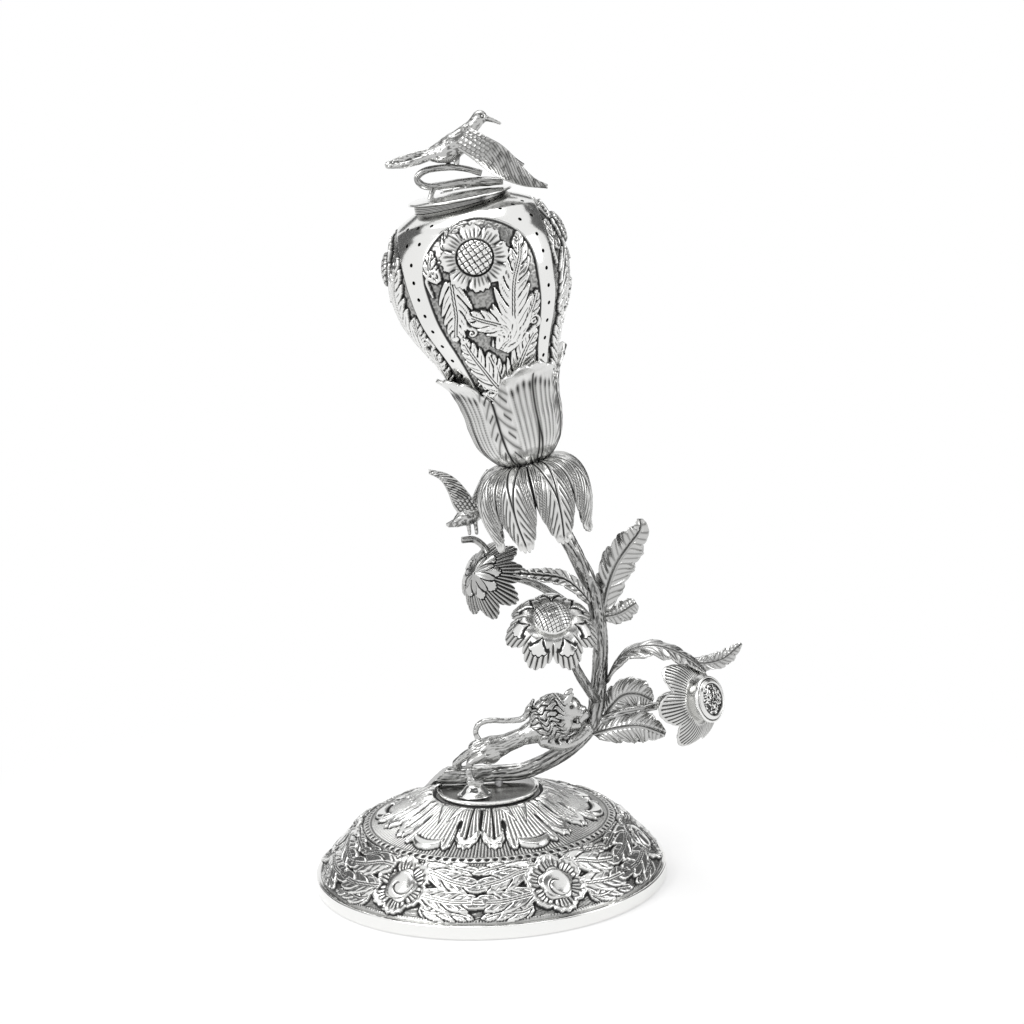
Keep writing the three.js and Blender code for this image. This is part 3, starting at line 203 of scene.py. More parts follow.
LAMPS = {
    # name: where it stands, what it faces, size in metres, watts
    "lamp_left": ((-900, -700, 900), (0, 0, 140), 0.7, 8),
    "lamp_right": ((1000, -300, 500), (0, 0, 120), 0.6, 2),
    "lamp_top": ((-100, 200, 1300), (0, 0, 100), 0.9, 6),
}
for lamp_name, (stands, faces, across, watts) in LAMPS.items():
    lamp_data = bpy.data.lights.new(lamp_name, "AREA")
    lamp_data.size = across
    lamp_data.energy = watts
    lamp = bpy.data.objects.new(lamp_name, lamp_data)
    stand_facing(lamp, Vector(in_metres(stands)), Vector(in_metres(faces)), "-Z")
    bpy.context.scene.collection.objects.link(lamp)

# The foot's rim.
# A plain band of silver wire, bent round, soldered and polished, that the domed sheet stands in.
# The helpers for turned pieces, sheets and silver start here.
RIM_RADIUS = 64
RIM_HEIGHT = 5
RIM_WIDTH = 3.4


def grid_quads(rows, columns, closed=False):
    """Faces of a grid of points, numbered row by row. A closed grid joins its last column to its first."""
    i, j = np.meshgrid(np.arange(rows - 1), np.arange(columns if closed else columns - 1), indexing="ij")
    right = (j + 1) % columns
    here, next_row = i * columns, (i + 1) * columns
    quads = np.stack([here + j, here + right, next_row + right, next_row + j], -1)
    return quads.reshape(-1, 4)


def read_all(rows, key, width, kind=float):
    """One kind of value from all of a mesh's points, edges or corners, a row for each."""
    flat = np.empty(len(rows) * width, kind)
    rows.foreach_get(key, flat)
    return flat.reshape(-1, width)


def smoothed(values, pairs, rounds):
    """Values at a mesh's points, evened out along its edges."""
    a, b = pairs
    count = len(values)
    degree = np.bincount(a, minlength=count) + np.bincount(b, minlength=count)
    degree = np.maximum(degree, 1)[:, None]
    for _ in range(rounds):
        total = np.stack([
            np.bincount(a, values[b, k], count) + np.bincount(b, values[a, k], count)
            for k in range(values.shape[1])
        ], -1)
        values = 0.4 * values + 0.6 * total / degree
    return values


FINE_ROUNDS, BROAD_ROUNDS = 4, 14  # of evening out, for narrow cuts and for wide hollows


def tarnish(mesh, depth=0.12, soot=0):
    """Writes how far each point lies in a recess, from 0 on a ridge to 1 in a cut, where the oxide stays."""
    points = read_all(mesh.vertices, "co", 3) * 1000
    normals = read_all(mesh.vertex_normals, "vector", 3)
    pairs = read_all(mesh.edges, "vertices", 2, np.int64).T
    hollow = np.zeros(len(points))
    for rounds in (FINE_ROUNDS, BROAD_ROUNDS):
        lifted = smoothed(points, pairs, rounds) - points
        hollow += np.einsum("ij,ij->i", lifted, normals) / (depth * rounds ** 0.5)
    hollow = np.clip(np.clip(hollow, 0, 1) + soot, 0, 1)
    mesh.attributes.new("recess", "FLOAT", "POINT").data.foreach_set("value", hollow.astype(np.float32))


def make_mesh(name, points, faces):
    """A smooth mesh from points in millimetres and arrays of faces, each of three or four corners."""
    mesh = bpy.data.meshes.new(name)
    groups = faces if isinstance(faces, list) else [faces]
    groups = [np.asarray(g) for g in groups if len(g)]
    corners = np.concatenate([g.ravel() for g in groups]).astype(np.int32)
    totals = np.concatenate([np.full(len(g), g.shape[1]) for g in groups]).astype(np.int32)
    mesh.vertices.add(len(points))
    mesh.vertices.foreach_set("co", in_metres(points).astype(np.float32).ravel())
    mesh.loops.add(len(corners))
    mesh.loops.foreach_set("vertex_index", corners)
    mesh.polygons.add(len(totals))
    mesh.polygons.foreach_set("loop_start", np.concatenate([[0], np.cumsum(totals)[:-1]]).astype(np.int32))
    mesh.polygons.foreach_set("loop_total", totals)
    mesh.update(calc_edges=True)
    mesh.validate()
    mesh.polygons.foreach_set("use_smooth", np.ones(len(mesh.polygons), bool))
    return mesh


def put(mesh, material, body, nodes):
    """Adds a mesh to the object: its material, the body it moves with, and the solids it stands for."""
    mesh.materials.append(material)
    piece = bpy.data.objects.new(mesh.name, mesh)
    bpy.context.scene.collection.objects.link(piece)
    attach(piece, body)
    if nodes:
        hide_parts(*nodes)
    return piece


def turned(outline, sides, closed=False):
    """Points and faces of an outline of (radius, height) points turned about the upright axis."""
    outline = np.asarray(outline, float)
    angles = np.linspace(0, 2 * np.pi, sides, endpoint=False)
    points = np.stack([
        outline[:, :1] * np.cos(angles), outline[:, :1] * np.sin(angles), outline[:, 1:] + 0 * angles,
    ], -1)
    quads = grid_quads(len(outline), sides, True)
    if closed:
        first, last = np.arange(sides), (len(outline) - 1) * sides + np.arange(sides)
        quads = np.concatenate([quads, np.stack([last, np.roll(last, -1), np.roll(first, -1), first], -1)])
    return points.reshape(-1, 3), quads


def rounded(corners, radius, steps=5, closed=True):
    """An outline with its corners rounded off by short curves."""
    corners = np.asarray(corners, float)
    count = len(corners)
    out = []
    for i, corner in enumerate(corners):
        if not closed and i in (0, count - 1):
            out.append(corner)
            continue
        before, after = corners[i - 1] - corner, corners[(i + 1) % count] - corner
        reach = min(radius, 0.45 * np.linalg.norm(before), 0.45 * np.linalg.norm(after))
        start = corner + before / np.linalg.norm(before) * reach
        end = corner + after / np.linalg.norm(after) * reach
        for t in np.linspace(0, 1, steps):
            out.append((1 - t) ** 2 * start + 2 * t * (1 - t) * corner + t ** 2 * end)
    return np.array(out)


OXIDE = 0.95  # of the brightness that the oxide takes away in the deepest cuts
TONE_STEPS = [(0.10, 1, 0.985), (0.38, 0.40, 0.975), (0.80, 1 - OXIDE, 1)]  # recess, tone, share of blue
DULLEST = 0.55  # roughness of the oxide


def silver(name, bright, roughness, scratches):
    """Silver with black oxide where the recess value is high, fine polishing marks, and uneven tone."""
    material, nodes, links, output = new_material(name)
    shader = add_node(nodes, "BsdfPrincipled", Metallic=1)
    recess = nodes.new("ShaderNodeAttribute")
    recess.attribute_name = "recess"
    place = nodes.new("ShaderNodeTexCoord")
    cloud = add_node(nodes, "TexNoise", Scale=260, Detail=5)
    links.new(place.outputs["Object"], cloud.inputs["Vector"])
    uneven = add_math(nodes, links, "MULTIPLY_ADD", cloud.outputs["Fac"], 0.30, -0.15)
    uneven = add_math(nodes, links, "MULTIPLY", uneven, recess.outputs["Fac"])
    depth = add_math(nodes, links, "ADD", recess.outputs["Fac"], uneven)
    depth.node.use_clamp = True
    tones = nodes.new("ShaderNodeValToRGB")
    tones.color_ramp.elements.new(0.5)
    for element, (position, tone, blue) in zip(tones.color_ramp.elements, TONE_STEPS):
        element.position = position
        element.color = (bright * tone, bright * tone, bright * tone * blue, 1)
    links.new(depth, tones.inputs["Fac"])
    links.new(tones.outputs["Color"], shader.inputs["Base Color"])
    dullness = add_node(nodes, "MapRange", To_Min=roughness, To_Max=DULLEST)
    links.new(depth, dullness.inputs["Value"])
    links.new(dullness.outputs[0], shader.inputs["Roughness"])
    marks = add_node(nodes, "TexNoise", Scale=1400, Detail=4)
    marks_bump = add_node(nodes, "Bump", Strength=scratches, Distance=0.0001)
    links.new(place.outputs["Object"], marks.inputs["Vector"])
    links.new(marks.outputs["Fac"], marks_bump.inputs["Height"])
    links.new(marks_bump.outputs["Normal"], shader.inputs["Normal"])
    links.new(shader.outputs[0], output.inputs["Surface"])
    return material


def add_turned(name, outline, nodes, sides, depth, material, closed=True, inside_out=False, lay=np.asarray):
    """A turned piece of the stand: its outline, the number of sides, and how deep a recess is all black."""
    points, quads = turned(outline, sides, closed)
    mesh = make_mesh(name, lay(points), quads[:, ::-1] if inside_out else quads)
    tarnish(mesh, depth=depth)
    put(mesh, material, "stand", nodes)


polished_silver = silver("polished_silver", bright=0.86, roughness=0.09, scratches=0.03)

add_turned("foot_rim_band", rounded([
    (RIM_RADIUS - RIM_WIDTH, 0), (RIM_RADIUS, 0), (RIM_RADIUS, RIM_HEIGHT - 0.2),
    (RIM_RADIUS - 0.9, RIM_HEIGHT), (RIM_RADIUS - RIM_WIDTH, RIM_HEIGHT),
], 0.6), ["foot_rim"], sides=360, depth=1, material=polished_silver)

# The foot's dome.
# One silver sheet, raised and chased from the front over pitch. Six roses with acanthus leaves between them
# fill the lower swell. A ring of punched pits runs round, and six broad ribbed leaves hang over fine flutes.
DOME_OUTLINE = [
    # radius and height, from the rim up to the plate
    (62.4, 5.3), (61, 6.6), (58, 9.6), (54, 13.6), (50.5, 17.6), (48, 19.9), (45, 21.7), (42, 22.5),
    (36, 24.5), (32, 26.1), (28, 27.9), (24, 30.1), (21.5, 31.1), (18.5, 31.2),
]
DOME_WALL = 1.0
DOME_COLUMNS = 1080
PIT_RING_RADIUS = 45
PIT_COUNT = 96
CROWN_RADIUS = 18.5
MOTIF_COUNT = 6
MOTIF_TURN = -90 - 36  # degrees, of the first rose
ROSE_RADIUS = 11.2
ROSE_RING_RADIUS = 54
FLUTE_COUNT = 216
SWELL_LEAVES = [
    # start, from the rose's middle; the next places and the end, from half way to the next rose; then the
    # half width, the length of a lobe and the rise
    ((8, -7.4), [(-16, -8.8), (-9, -8.6)], (-2, -10.4), 3.3, 5.4, 1.3),
    ((7, -2.6), [(-15, -3.6), (-8, -4.6)], (3, -4.4), 4.8, 7.4, 1.9),
    ((7, 6.0), [(-15, 5.6), (-8, 3.0)], (2, 0.6), 5.0, 7.8, 2.1),
    ((9, 9.6), [(-13, 9.6), (-6, 8.2)], (1, 6.4), 3.2, 5.4, 1.3),
]
SWELL_GAP_RADIUS = 53  # where the half way to the next rose is measured
TAIL_PAST = 1.6  # how much further the leaves of one side reach
SWELL_HALF_HEIGHT = 13  # of the patch of the dome that one group of leaves or one rose is chased in


def bell(away, width):
    """1 where away is 0, falling smoothly to nearly nothing at twice the width."""
    return np.exp(-(away / width) ** 2)


def wave(turns):
    """0 at whole numbers and 1 half way between them."""
    return np.abs(np.sin(np.pi * turns))


def unit(vectors):
    """The same directions, each of length 1."""
    return vectors / np.maximum(np.linalg.norm(vectors, axis=-1, keepdims=True), 1e-9)


def gone_along(path):
    """How far along a path each of its points lies."""
    return np.concatenate([[0], np.cumsum(np.linalg.norm(np.diff(path, axis=0), axis=1))])


def smooth_route(points, count):
    """Points at even steps along a smooth curve through the given points."""
    points = np.asarray(points, float)
    padded = np.concatenate([[2 * points[0] - points[1]], points, [2 * points[-1] - points[-2]]])
    fine = []
    for i in range(len(points) - 1):
        p0, p1, p2, p3 = padded[i:i + 4]
        t = np.linspace(0, 1, 24, endpoint=False)[:, None]
        fine.append(0.5 * (2 * p1 + (p2 - p0) * t + (2 * p0 - 5 * p1 + 4 * p2 - p3) * t ** 2
                           + (3 * p1 - p0 - 3 * p2 + p3) * t ** 3))
    fine = np.concatenate(fine + [points[-1:]])
    gone = gone_along(fine)
    wanted = np.linspace(0, gone[-1], count)
    return np.stack([np.interp(wanted, gone, fine[:, k]) for k in range(points.shape[1])], -1)


dice = np.random.default_rng(7)
speckle_table = dice.random((256, 256))


def speckle(x, y):
    """Smooth random values from 0 to 1 over a plane, with spots about one unit apart."""
    xi, yi = np.floor(x).astype(int), np.floor(y).astype(int)
    fx, fy = x - xi, y - yi
    fx, fy = fx * fx * (3 - 2 * fx), fy * fy * (3 - 2 * fy)
    (low_left, high_left), (low_right, high_right) = (
        [speckle_table[(xi + i) % 256, (yi + j) % 256] for j in (0, 1)] for i in (0, 1)
    )
    low = low_left * (1 - fx) + low_right * fx
    high = high_left * (1 - fx) + high_right * fx
    return low * (1 - fy) + high * fy


def along_route(x, y, route):
    """For points of a plane: how far along a route the nearest point is, its length, and the distance to the
    left of it."""
    path = smooth_route(route, 70)
    gone = gone_along(path)
    nearest = np.argmin((x[..., None] - path[:, 0]) ** 2 + (y[..., None] - path[:, 1]) ** 2, -1)
    direction = unit(np.gradient(path, axis=0))
    dx, dy = x - path[nearest, 0], y - path[nearest, 1]
    tx, ty = direction[nearest, 0], direction[nearest, 1]
    return gone[nearest] + dx * tx + dy * ty, gone[-1], tx * dy - ty * dx


def soft_step(value, low, high):
    """0 up to low, 1 from high on, and an even slope between."""
    t = np.clip((value - low) / (high - low), 0, 1)
    return t * t * (3 - 2 * t)


def raise_over(relief, window, height, inside):
    """Lays a raised form over the relief where inside is true."""
    part = relief[window]
    relief[window] = np.where(inside, np.maximum(part, height), part)


def chased_leaf(x, y, route, half_width, lobe, rise, slant):
    """An acanthus leaf along a route: its height over the ground, and where it is. Its lobes point forwards,
    with a cut between two of them that ends in a small eye."""
    along, length, side = along_route(x, y, route)
    t = np.clip(along / length, 0, 1)
    reach = np.abs(side)
    leaning = along - slant * reach - 0.35 * reach ** 2 / half_width + 0.5 * lobe * (side > 0)
    in_lobe = (leaning / lobe) % 1
    body = np.sin(np.pi * (0.06 + 0.94 * t) ** 0.8) ** 0.6
    lobed = np.sin(np.pi * in_lobe ** 1.7) ** 0.55
    width = half_width * body * (0.62 + 0.38 * lobed)
    inside = (reach < width) & (along > -0.3) & (along < length + 0.3)
    q = reach / np.maximum(width, 0.05)  # 0 on the midrib, 1 at the edge
    height = rise * (0.30 + 0.70 * np.sqrt(np.clip(1 - q ** 4, 0, 1)))
    from_cut = np.minimum(in_lobe, 1 - in_lobe) * lobe
    cut = bell(from_cut, 0.30) * soft_step(q, 0.30, 0.50)
    eye = bell(from_cut, 0.42) * bell(q - 0.42, 0.10)
    rib = bell((in_lobe - 0.5) * lobe, 0.22) * soft_step(q, 0.15, 0.35) * (1 - soft_step(q, 0.70, 0.85))
    midrib_sides = bell(reach - 0.42, 0.17) * (t < 0.9)
    height -= rise * (0.62 * np.clip(cut + 0.8 * eye, 0, 1) + 0.14 * rib + 0.34 * midrib_sides)
    height += 0.16 * rise * soft_step(q, 0.55, 0.85)
    return height, inside & (height > 0.05)


def chased_stem(x, y, route, width, rise):
    """A round stem or scroll along a route."""
    along, length, side = along_route(x, y, route)
    taper = 0.45 + 0.55 * np.sin(np.pi * np.clip(0.12 + 0.8 * along / length, 0, 1))
    half = width / 2 * taper
    inside = (np.abs(side) < half) & (along > -half) & (along < length + half)
    return rise * np.sqrt(np.clip(1 - (side / half) ** 2, 0, 1)), inside


def spiral(x0, y0, radius, start, turns, tail=()):
    """A route that winds in to a middle, with an optional tail before it."""
    t = np.linspace(0, 1, 14)
    angle = np.radians(start) + turns * 2 * np.pi * t
    reach = radius * (1 - 0.85 * t)
    curl = np.stack([x0 + reach * np.cos(angle), y0 + reach * np.sin(angle)], -1)
    return np.concatenate([np.array(tail, float).reshape(-1, 2), curl])


ROSE_PETALS = 6
ROSE_RISE = 1.9
BUD_SHARE = 0.46  # of the rose's radius
CENTRE_SHARE = 0.44


def chased_rose(x, y, radius, turn):
    """A rose seen from the front: ruffled outer petals round a smooth spiral bud."""
    rho = np.hypot(x, y) / radius
    phi = np.arctan2(y, x) + turn
    lobe = np.abs(np.cos(ROSE_PETALS / 2 * phi))
    edge = 0.80 + 0.20 * lobe ** 0.5 + 0.02 * np.cos(26 * phi)
    share = np.clip((rho - CENTRE_SHARE) / (edge - CENTRE_SHARE), 0, 1)
    outer = (0.16 + 0.50 * share ** 0.8) * (0.45 + 0.55 * lobe ** 0.6)
    creases = np.cos(30 * phi + 2 * np.sin(ROSE_PETALS * phi))
    outer += 0.12 * creases * (1 - soft_step(share, 0.45, 0.75)) + 0.35 * soft_step(share, 0.62, 0.85)
    ruffle = np.cos(5 * phi + 0.8)
    inner_edge = 0.56 - 0.05 * ruffle
    inner = (0.72 + 0.10 * ruffle) * np.sqrt(np.clip(1 - (rho / inner_edge) ** 6, 0, 1))
    swirl = np.abs(np.sin(0.5 * (phi - 9.5 * np.sqrt(np.clip(rho, 0, 1)))))
    bud = 0.70 + 0.50 * np.sqrt(np.clip(1 - (rho / BUD_SHARE) ** 2, 0, 1))
    bud -= 0.30 * (1 - soft_step(swirl, 0.0, 0.30)) * soft_step(rho, 0.02, 0.12)
    height = np.where(rho < inner_edge, inner, outer)
    height = np.where(rho < BUD_SHARE, np.maximum(bud, 0), height)
    return ROSE_RISE * height, rho < edge


dome_rows = smooth_route(DOME_OUTLINE, 190)
dome_radius = dome_rows[:, 0]
dome_gone = gone_along(dome_rows)
pit_gone = np.interp(-PIT_RING_RADIUS, -dome_radius, dome_gone)
swell_middle = 0.50 * pit_gone
rose_gone = np.interp(-ROSE_RING_RADIUS, -dome_radius, dome_gone)
dome_angle = np.linspace(0, 2 * np.pi, DOME_COLUMNS, endpoint=False)
dome_relief = np.zeros((len(dome_gone), DOME_COLUMNS))
dome_soot = np.zeros_like(dome_relief)


def dome_window(azimuth, gone, half_angle, half_gone):
    """A patch of the dome round a spot, with its own flat coordinates: right round the dome, and up it."""
    away = (np.degrees(dome_angle) - azimuth + 180) % 360 - 180
    columns = np.where(np.abs(away) < half_angle)[0]
    columns = columns[np.argsort(away[columns])]
    rows = np.where(np.abs(dome_gone - gone) < half_gone)[0]
    x = np.radians(away[columns])[None, :] * dome_radius[rows][:, None]
    y = (dome_gone[rows] - gone)[:, None] + 0 * x
    return np.ix_(rows, columns), x, y


# a stippled ground low down, fine flutes above the pits
STIPPLE_SIZE = 0.55
across = dome_angle[None, :] * dome_radius[:, None]
up = dome_gone[:, None] + 0 * across
below = soft_step(pit_gone - up, 0.2, 1.2)
stipple = speckle(across / STIPPLE_SIZE, up / STIPPLE_SIZE)
dome_relief += below * 0.22 * stipple
dome_soot += below * 0.30 * (stipple < 0.55)
flutes = np.abs(np.sin(FLUTE_COUNT / 2 * dome_angle))[None, :] ** 0.8
above = soft_step(up - pit_gone, 1.4, 2.4)
dome_relief += above * 0.34 * flutes
dome_soot += above * 0.25 * (1 - flutes)

half_step = 180 / MOTIF_COUNT
gap = np.radians(half_step) * SWELL_GAP_RADIUS
for k in range(MOTIF_COUNT):
    azimuth = MOTIF_TURN + 2 * half_step * k
    window, x, y = dome_window(azimuth + half_step, swell_middle, half_step + 3, SWELL_HALF_HEIGHT)
    for side in (-1, 1):
        tail = TAIL_PAST if side > 0 else 0
        for start, between, end, half_width, lobe, rise in SWELL_LEAVES:
            route = [(start[0] - gap, start[1]), *between, (end[0] + tail, end[1])]
            height, inside = chased_leaf(side * x, y, route, half_width, lobe, rise, slant=1.1)
            raise_over(dome_relief, window, height, inside)
            dome_soot[window] = np.where(inside, 0, dome_soot[window])
    window, x, y = dome_window(azimuth, rose_gone, half_step, SWELL_HALF_HEIGHT)
    height, inside = chased_rose(x, y, ROSE_RADIUS, 0.4 + 1.1 * k)
    dome_relief[window] = np.where(inside, height, dome_relief[window])
    dome_soot[window] = np.where(inside, 0, dome_soot[window])

# the broad leaves of the upper zone: a fan of ribs that ends under a bright turned-up lip, a small lobe at
# each side of it, and a half leaf beyond a drop-shaped slot
upper_length = dome_gone[-1] - pit_gone
LIP_HALF = 8.5  # degrees round the foot from a leaf's middle
LOBE_OFF = 11.4
SLOT_OFF = 14.0
HALF_LEAF_OFF = 21.5
HALF_LEAF_END = 28
NOTCH_OFF = 30
LEAVES_END = 32
RIB_STEP = 2.9
LIP_RISE = 2.3
TIP_RISE = 1.9
TRIANGLE_RISE = 1.5
VEIN_END = 0.60  # of the way out, as all that follow
ROOT_FROM, ROOT_TO = 0.04, 0.40
SLOT_FROM, SLOT_LENGTH = 0.36, 0.36
for k in range(MOTIF_COUNT):
    azimuth = MOTIF_TURN + 2 * half_step * k
    window, x, y = dome_window(azimuth, pit_gone + upper_length / 2, LEAVES_END, upper_length / 2)
    share = (upper_length / 2 - y) / upper_length  # from the crown outwards
    round_by = CROWN_RADIUS + (PIT_RING_RADIUS - CROWN_RADIUS) * np.clip(share, 0, 1)
    off = np.degrees(x / round_by)
    away = np.abs(off)
    per_degree = np.radians(1) * round_by
    from_half_leaf = away - HALF_LEAF_OFF
    # where the leaf ends: under its lip, its small lobes, and the half leaves
    lip_end = 0.87 - 0.0013 * away ** 2
    lobe_end = 0.83 - 0.018 * np.abs(away - LOBE_OFF) ** 1.6
    half_end = 0.80 - 0.0040 * from_half_leaf ** 2 - 0.03 * wave(from_half_leaf / 3.2)
    end = np.where(away < LIP_HALF, lip_end, np.where(away < SLOT_OFF, lobe_end, half_end))
    rib = wave(off * (1.0 + 0.18 * (1 - share)) / RIB_STEP) ** 0.45
    height = 1.0 + 0.55 * rib + 0.25 * share
    lip_start = 0.70 - 0.0006 * away ** 2
    on_lip = (away < LIP_HALF + 0.8) & (share > lip_start)
    lip = LIP_RISE * np.clip((end - share) / 0.05, 0, 1) ** 0.4 + 0.5 * (share - lip_start)
    height = np.where(on_lip, lip, height)
    on_tip = (away > SLOT_OFF + 1.5) & (away < HALF_LEAF_END) & (share > half_end - 0.17)
    height = np.where(on_tip, TIP_RISE * np.clip((end - share) / 0.06, 0, 1) ** 0.4, height)
    under_lip = bell(share - lip_start, 0.02) * (away < LIP_HALF)
    vein = bell(from_half_leaf * per_degree, 0.30) * (share < VEIN_END)
    vein_eye = bell(from_half_leaf * per_degree, 0.5) * bell(share - VEIN_END, 0.03)
    dark = np.maximum(under_lip, np.maximum(vein, vein_eye))
    height = height - 0.9 * dark
    # the smooth dark-edged triangles at the root, whose points lie beside the leaf's middle
    way = np.clip((share - ROOT_FROM) / (ROOT_TO - ROOT_FROM), 0, 1)
    low, high = 5.0 - 2.5 * way, 18.0 - 15.5 * way ** 0.7
    on_triangle = (share > ROOT_FROM) & (share < ROOT_TO) & (away > low) & (away < high)
    from_side = np.minimum(away - low, high - away) * per_degree
    height = np.where(on_triangle, TRIANGLE_RISE - 0.8 * bell(from_side, 0.28), height)
    dark = np.where(on_triangle, 0.9 * bell(from_side, 0.25), dark)
    # the drop-shaped slots, and the narrow gaps between two leaves
    slot_way = (share - SLOT_FROM) / SLOT_LENGTH
    slot_half = 0.95 * np.sqrt(np.clip(1 - (slot_way / 0.25) ** 2, 0, 1)) * (np.abs(slot_way) < 0.25)
    slot_half = np.maximum(slot_half, np.where((slot_way > 0) & (slot_way < 1), 0.42, 0))
    cut = np.abs(away - SLOT_OFF - 1.2 * slot_way) * per_degree < slot_half
    notch_half = np.where(share < 0.12, 0.9, 0.32)
    cut |= (share > 0.06) & (share < 0.46) & ((NOTCH_OFF - away) * per_degree < notch_half)
    height = np.where(cut, 0.1, height)
    dark = np.where(cut, 1, dark)
    inside = share < end
    raise_over(dome_relief, window, height, inside)
    dome_soot[window] = np.where(inside, np.clip(dark, 0, 1), dome_soot[window])

# the ring of pits between two fine beads
PIT_LINE = 0.3  # how far above the ring's own line the pits lie
PIT_DEPTH = 1.3
BEAD_HALF = 0.45
from_ring = up - pit_gone
pit_phase = np.abs((PIT_COUNT * dome_angle / (2 * np.pi)) % 1 - 0.5) * 2 * np.pi * PIT_RING_RADIUS / PIT_COUNT
pit_distance = np.hypot(pit_phase[None, :], from_ring - PIT_LINE)
ring_band = soft_step(1.6 - np.abs(from_ring - PIT_LINE), 0, 0.3)
dome_relief = dome_relief * (1 - ring_band) + 0.55 * ring_band
dome_relief -= PIT_DEPTH * soft_step(0.95 - pit_distance, 0, 0.35)
dome_soot = np.maximum(dome_soot * (1 - ring_band), soft_step(0.9 - pit_distance, 0, 0.25))
for bead_line, beads in ((-1.75, 3 * PIT_COUNT), (0.9 - pit_gone, 4 * PIT_COUNT)):
    pearl = np.sqrt(np.clip(1 - ((from_ring - bead_line) / BEAD_HALF) ** 2, 0, 1))
    dome_relief = np.maximum(dome_relief, 0.5 * np.abs(np.sin(beads / 2 * dome_angle))[None, :] * pearl)

# oxide lies in all that is low, and the relief fades out at both edges of the sheet
dome_soot = np.maximum(dome_soot, 0.30 * np.clip((1.5 - dome_relief) / 1.5, 0, 1))
dome_relief *= 0.85 * soft_step(up, 0.0, 0.8) * soft_step(dome_gone[-1] - up, 0.0, 0.8)


def raised_round(rows, angle, along, rise):
    """Points of a turned sheet, each at a place along its outline and an angle, and raised square to it."""
    gone = gone_along(rows)
    ahead = unit(np.gradient(rows, axis=0))
    radius = np.interp(along, gone, rows[:, 0]) + rise * ahead[:, 1:2]
    height = np.interp(along, gone, rows[:, 1]) - rise * ahead[:, :1]
    return np.stack([radius * np.cos(angle), radius * np.sin(angle), height], -1).reshape(-1, 3)


def thicken(outside, inside, quads):
    """Closes two matching sheets into a body, with walls along every free edge."""
    count = len(outside)
    edges = np.concatenate([quads[:, [k, (k + 1) % 4]] for k in range(4)])
    code = edges[:, 0].astype(np.int64) * count + edges[:, 1]
    back = edges[:, 1].astype(np.int64) * count + edges[:, 0]
    free = edges[~np.isin(code, back)]
    walls = np.stack([free[:, 1], free[:, 0], free[:, 0] + count, free[:, 1] + count], -1)
    return np.concatenate([outside, inside]), np.concatenate([quads, quads[:, ::-1] + count, walls])


INSIDE_SOOT = 0.3
chased_silver = silver("chased_silver", bright=0.78, roughness=0.17, scratches=0.10)

# the last rows dip towards the plate, and there the sheet shows its dark inside
shown = np.where(np.gradient(dome_rows[:, 1]) < 0, -1, 1)[:, None]
dome_points, dome_quads = thicken(
    raised_round(dome_rows, dome_angle, up, dome_relief * shown),
    raised_round(dome_rows, dome_angle, up, -DOME_WALL * shown),
    grid_quads(len(dome_rows), DOME_COLUMNS, True),
)
dome_mesh = make_mesh("foot_dome_sheet", dome_points, dome_quads)
tarnish(dome_mesh, soot=np.concatenate([dome_soot.ravel(), np.full(dome_soot.size, INSIDE_SOOT)]))
put(dome_mesh, chased_silver, "stand", ["foot_dome"])

# The foot's plate.
# A turned silver disc, polished like a mirror and soldered on the crown of the dome. A fine step runs round
# its edge.
PLATE_RADIUS = 18.5
PLATE_BASE = 31.5
DECK = 34.2  # the level that the branch and the lion stand on

add_turned("foot_plate_disc", rounded([
    (0.01, DECK - 0.25), (PLATE_RADIUS - 1.4, DECK - 0.25), (PLATE_RADIUS - 1.1, DECK), (PLATE_RADIUS, DECK),
    (PLATE_RADIUS, DECK - 1.2), (PLATE_RADIUS - 0.5, DECK - 1.3), (PLATE_RADIUS - 0.5, PLATE_BASE),
    (0.01, PLATE_BASE),
], 0.2, closed=False), ["foot_plate"], 240, 0.5, polished_silver, closed=False, inside_out=True)

# The bolt under the foot.
# A steel stud, washer and nut clamp the branch to the plate from inside the dome. They keep their plain
# turned shape, in a dull grey steel.
bolt_steel, nodes, links, output = new_material("bolt_steel")
shader = add_node(nodes, "BsdfPrincipled", Metallic=1, Roughness=0.4)
turning = add_node(nodes, "TexNoise", Scale=700)
turning_tones = nodes.new("ShaderNodeValToRGB")
turning_tones.color_ramp.elements[0].color = (0.33, 0.33, 0.34, 1)
turning_tones.color_ramp.elements[1].color = (0.62, 0.62, 0.63, 1)
links.new(turning.outputs["Fac"], turning_tones.inputs["Fac"])
links.new(turning_tones.outputs["Color"], shader.inputs["Base Color"])
links.new(shader.outputs[0], output.inputs["Surface"])


def refinish(node, material):
    """Gives a solid that keeps its own shape its material."""
    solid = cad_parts[node]
    for place in solid.material_slots:
        place.link = "OBJECT"
        place.material = material


for bolt_node in ("branch_stud", "branch_washer", "branch_nut", "calyx_screw", "hinge_pin"):
    refinish(bolt_node, bolt_steel)

# The branch.
# Cast in silver and chased with long wavy bark grooves that hold the oxide. Its thick end is cut on a slant
# and lies along the plate. The rest rises at the right and bends back to carry the fruit.
BRANCH_ROUTE = [
    (-27, 5, 1.4), (-19, 5, 3.2), (-13, 4.5, 3.3), (-5, 4.5, 3.3), (4, 4.5, 3.3), (13, 4.5, 3.7),
    (19.5, 4.5, 5.7), (26, 4.5, 9), (32.6, 4.5, 13.5), (38, 4.5, 19.4), (40.6, 4.5, 26), (41.8, 4.5, 35.4),
    (42.9, 4.3, 45.2), (42.9, 4, 53.8), (42.2, 3.4, 63.3), (40, 2.6, 72.9), (36.2, 1.6, 82.5),
    (31.6, 0.6, 92.1), (27.2, 0, 101.5), (23.1, 0, 109.5), (20.6, 0, 115.2),
]
BRANCH_RADII = [3.3, 3.2, 3.1, 3.1, 3.0, 3.0, 2.9, 2.8, 2.7, 2.6]
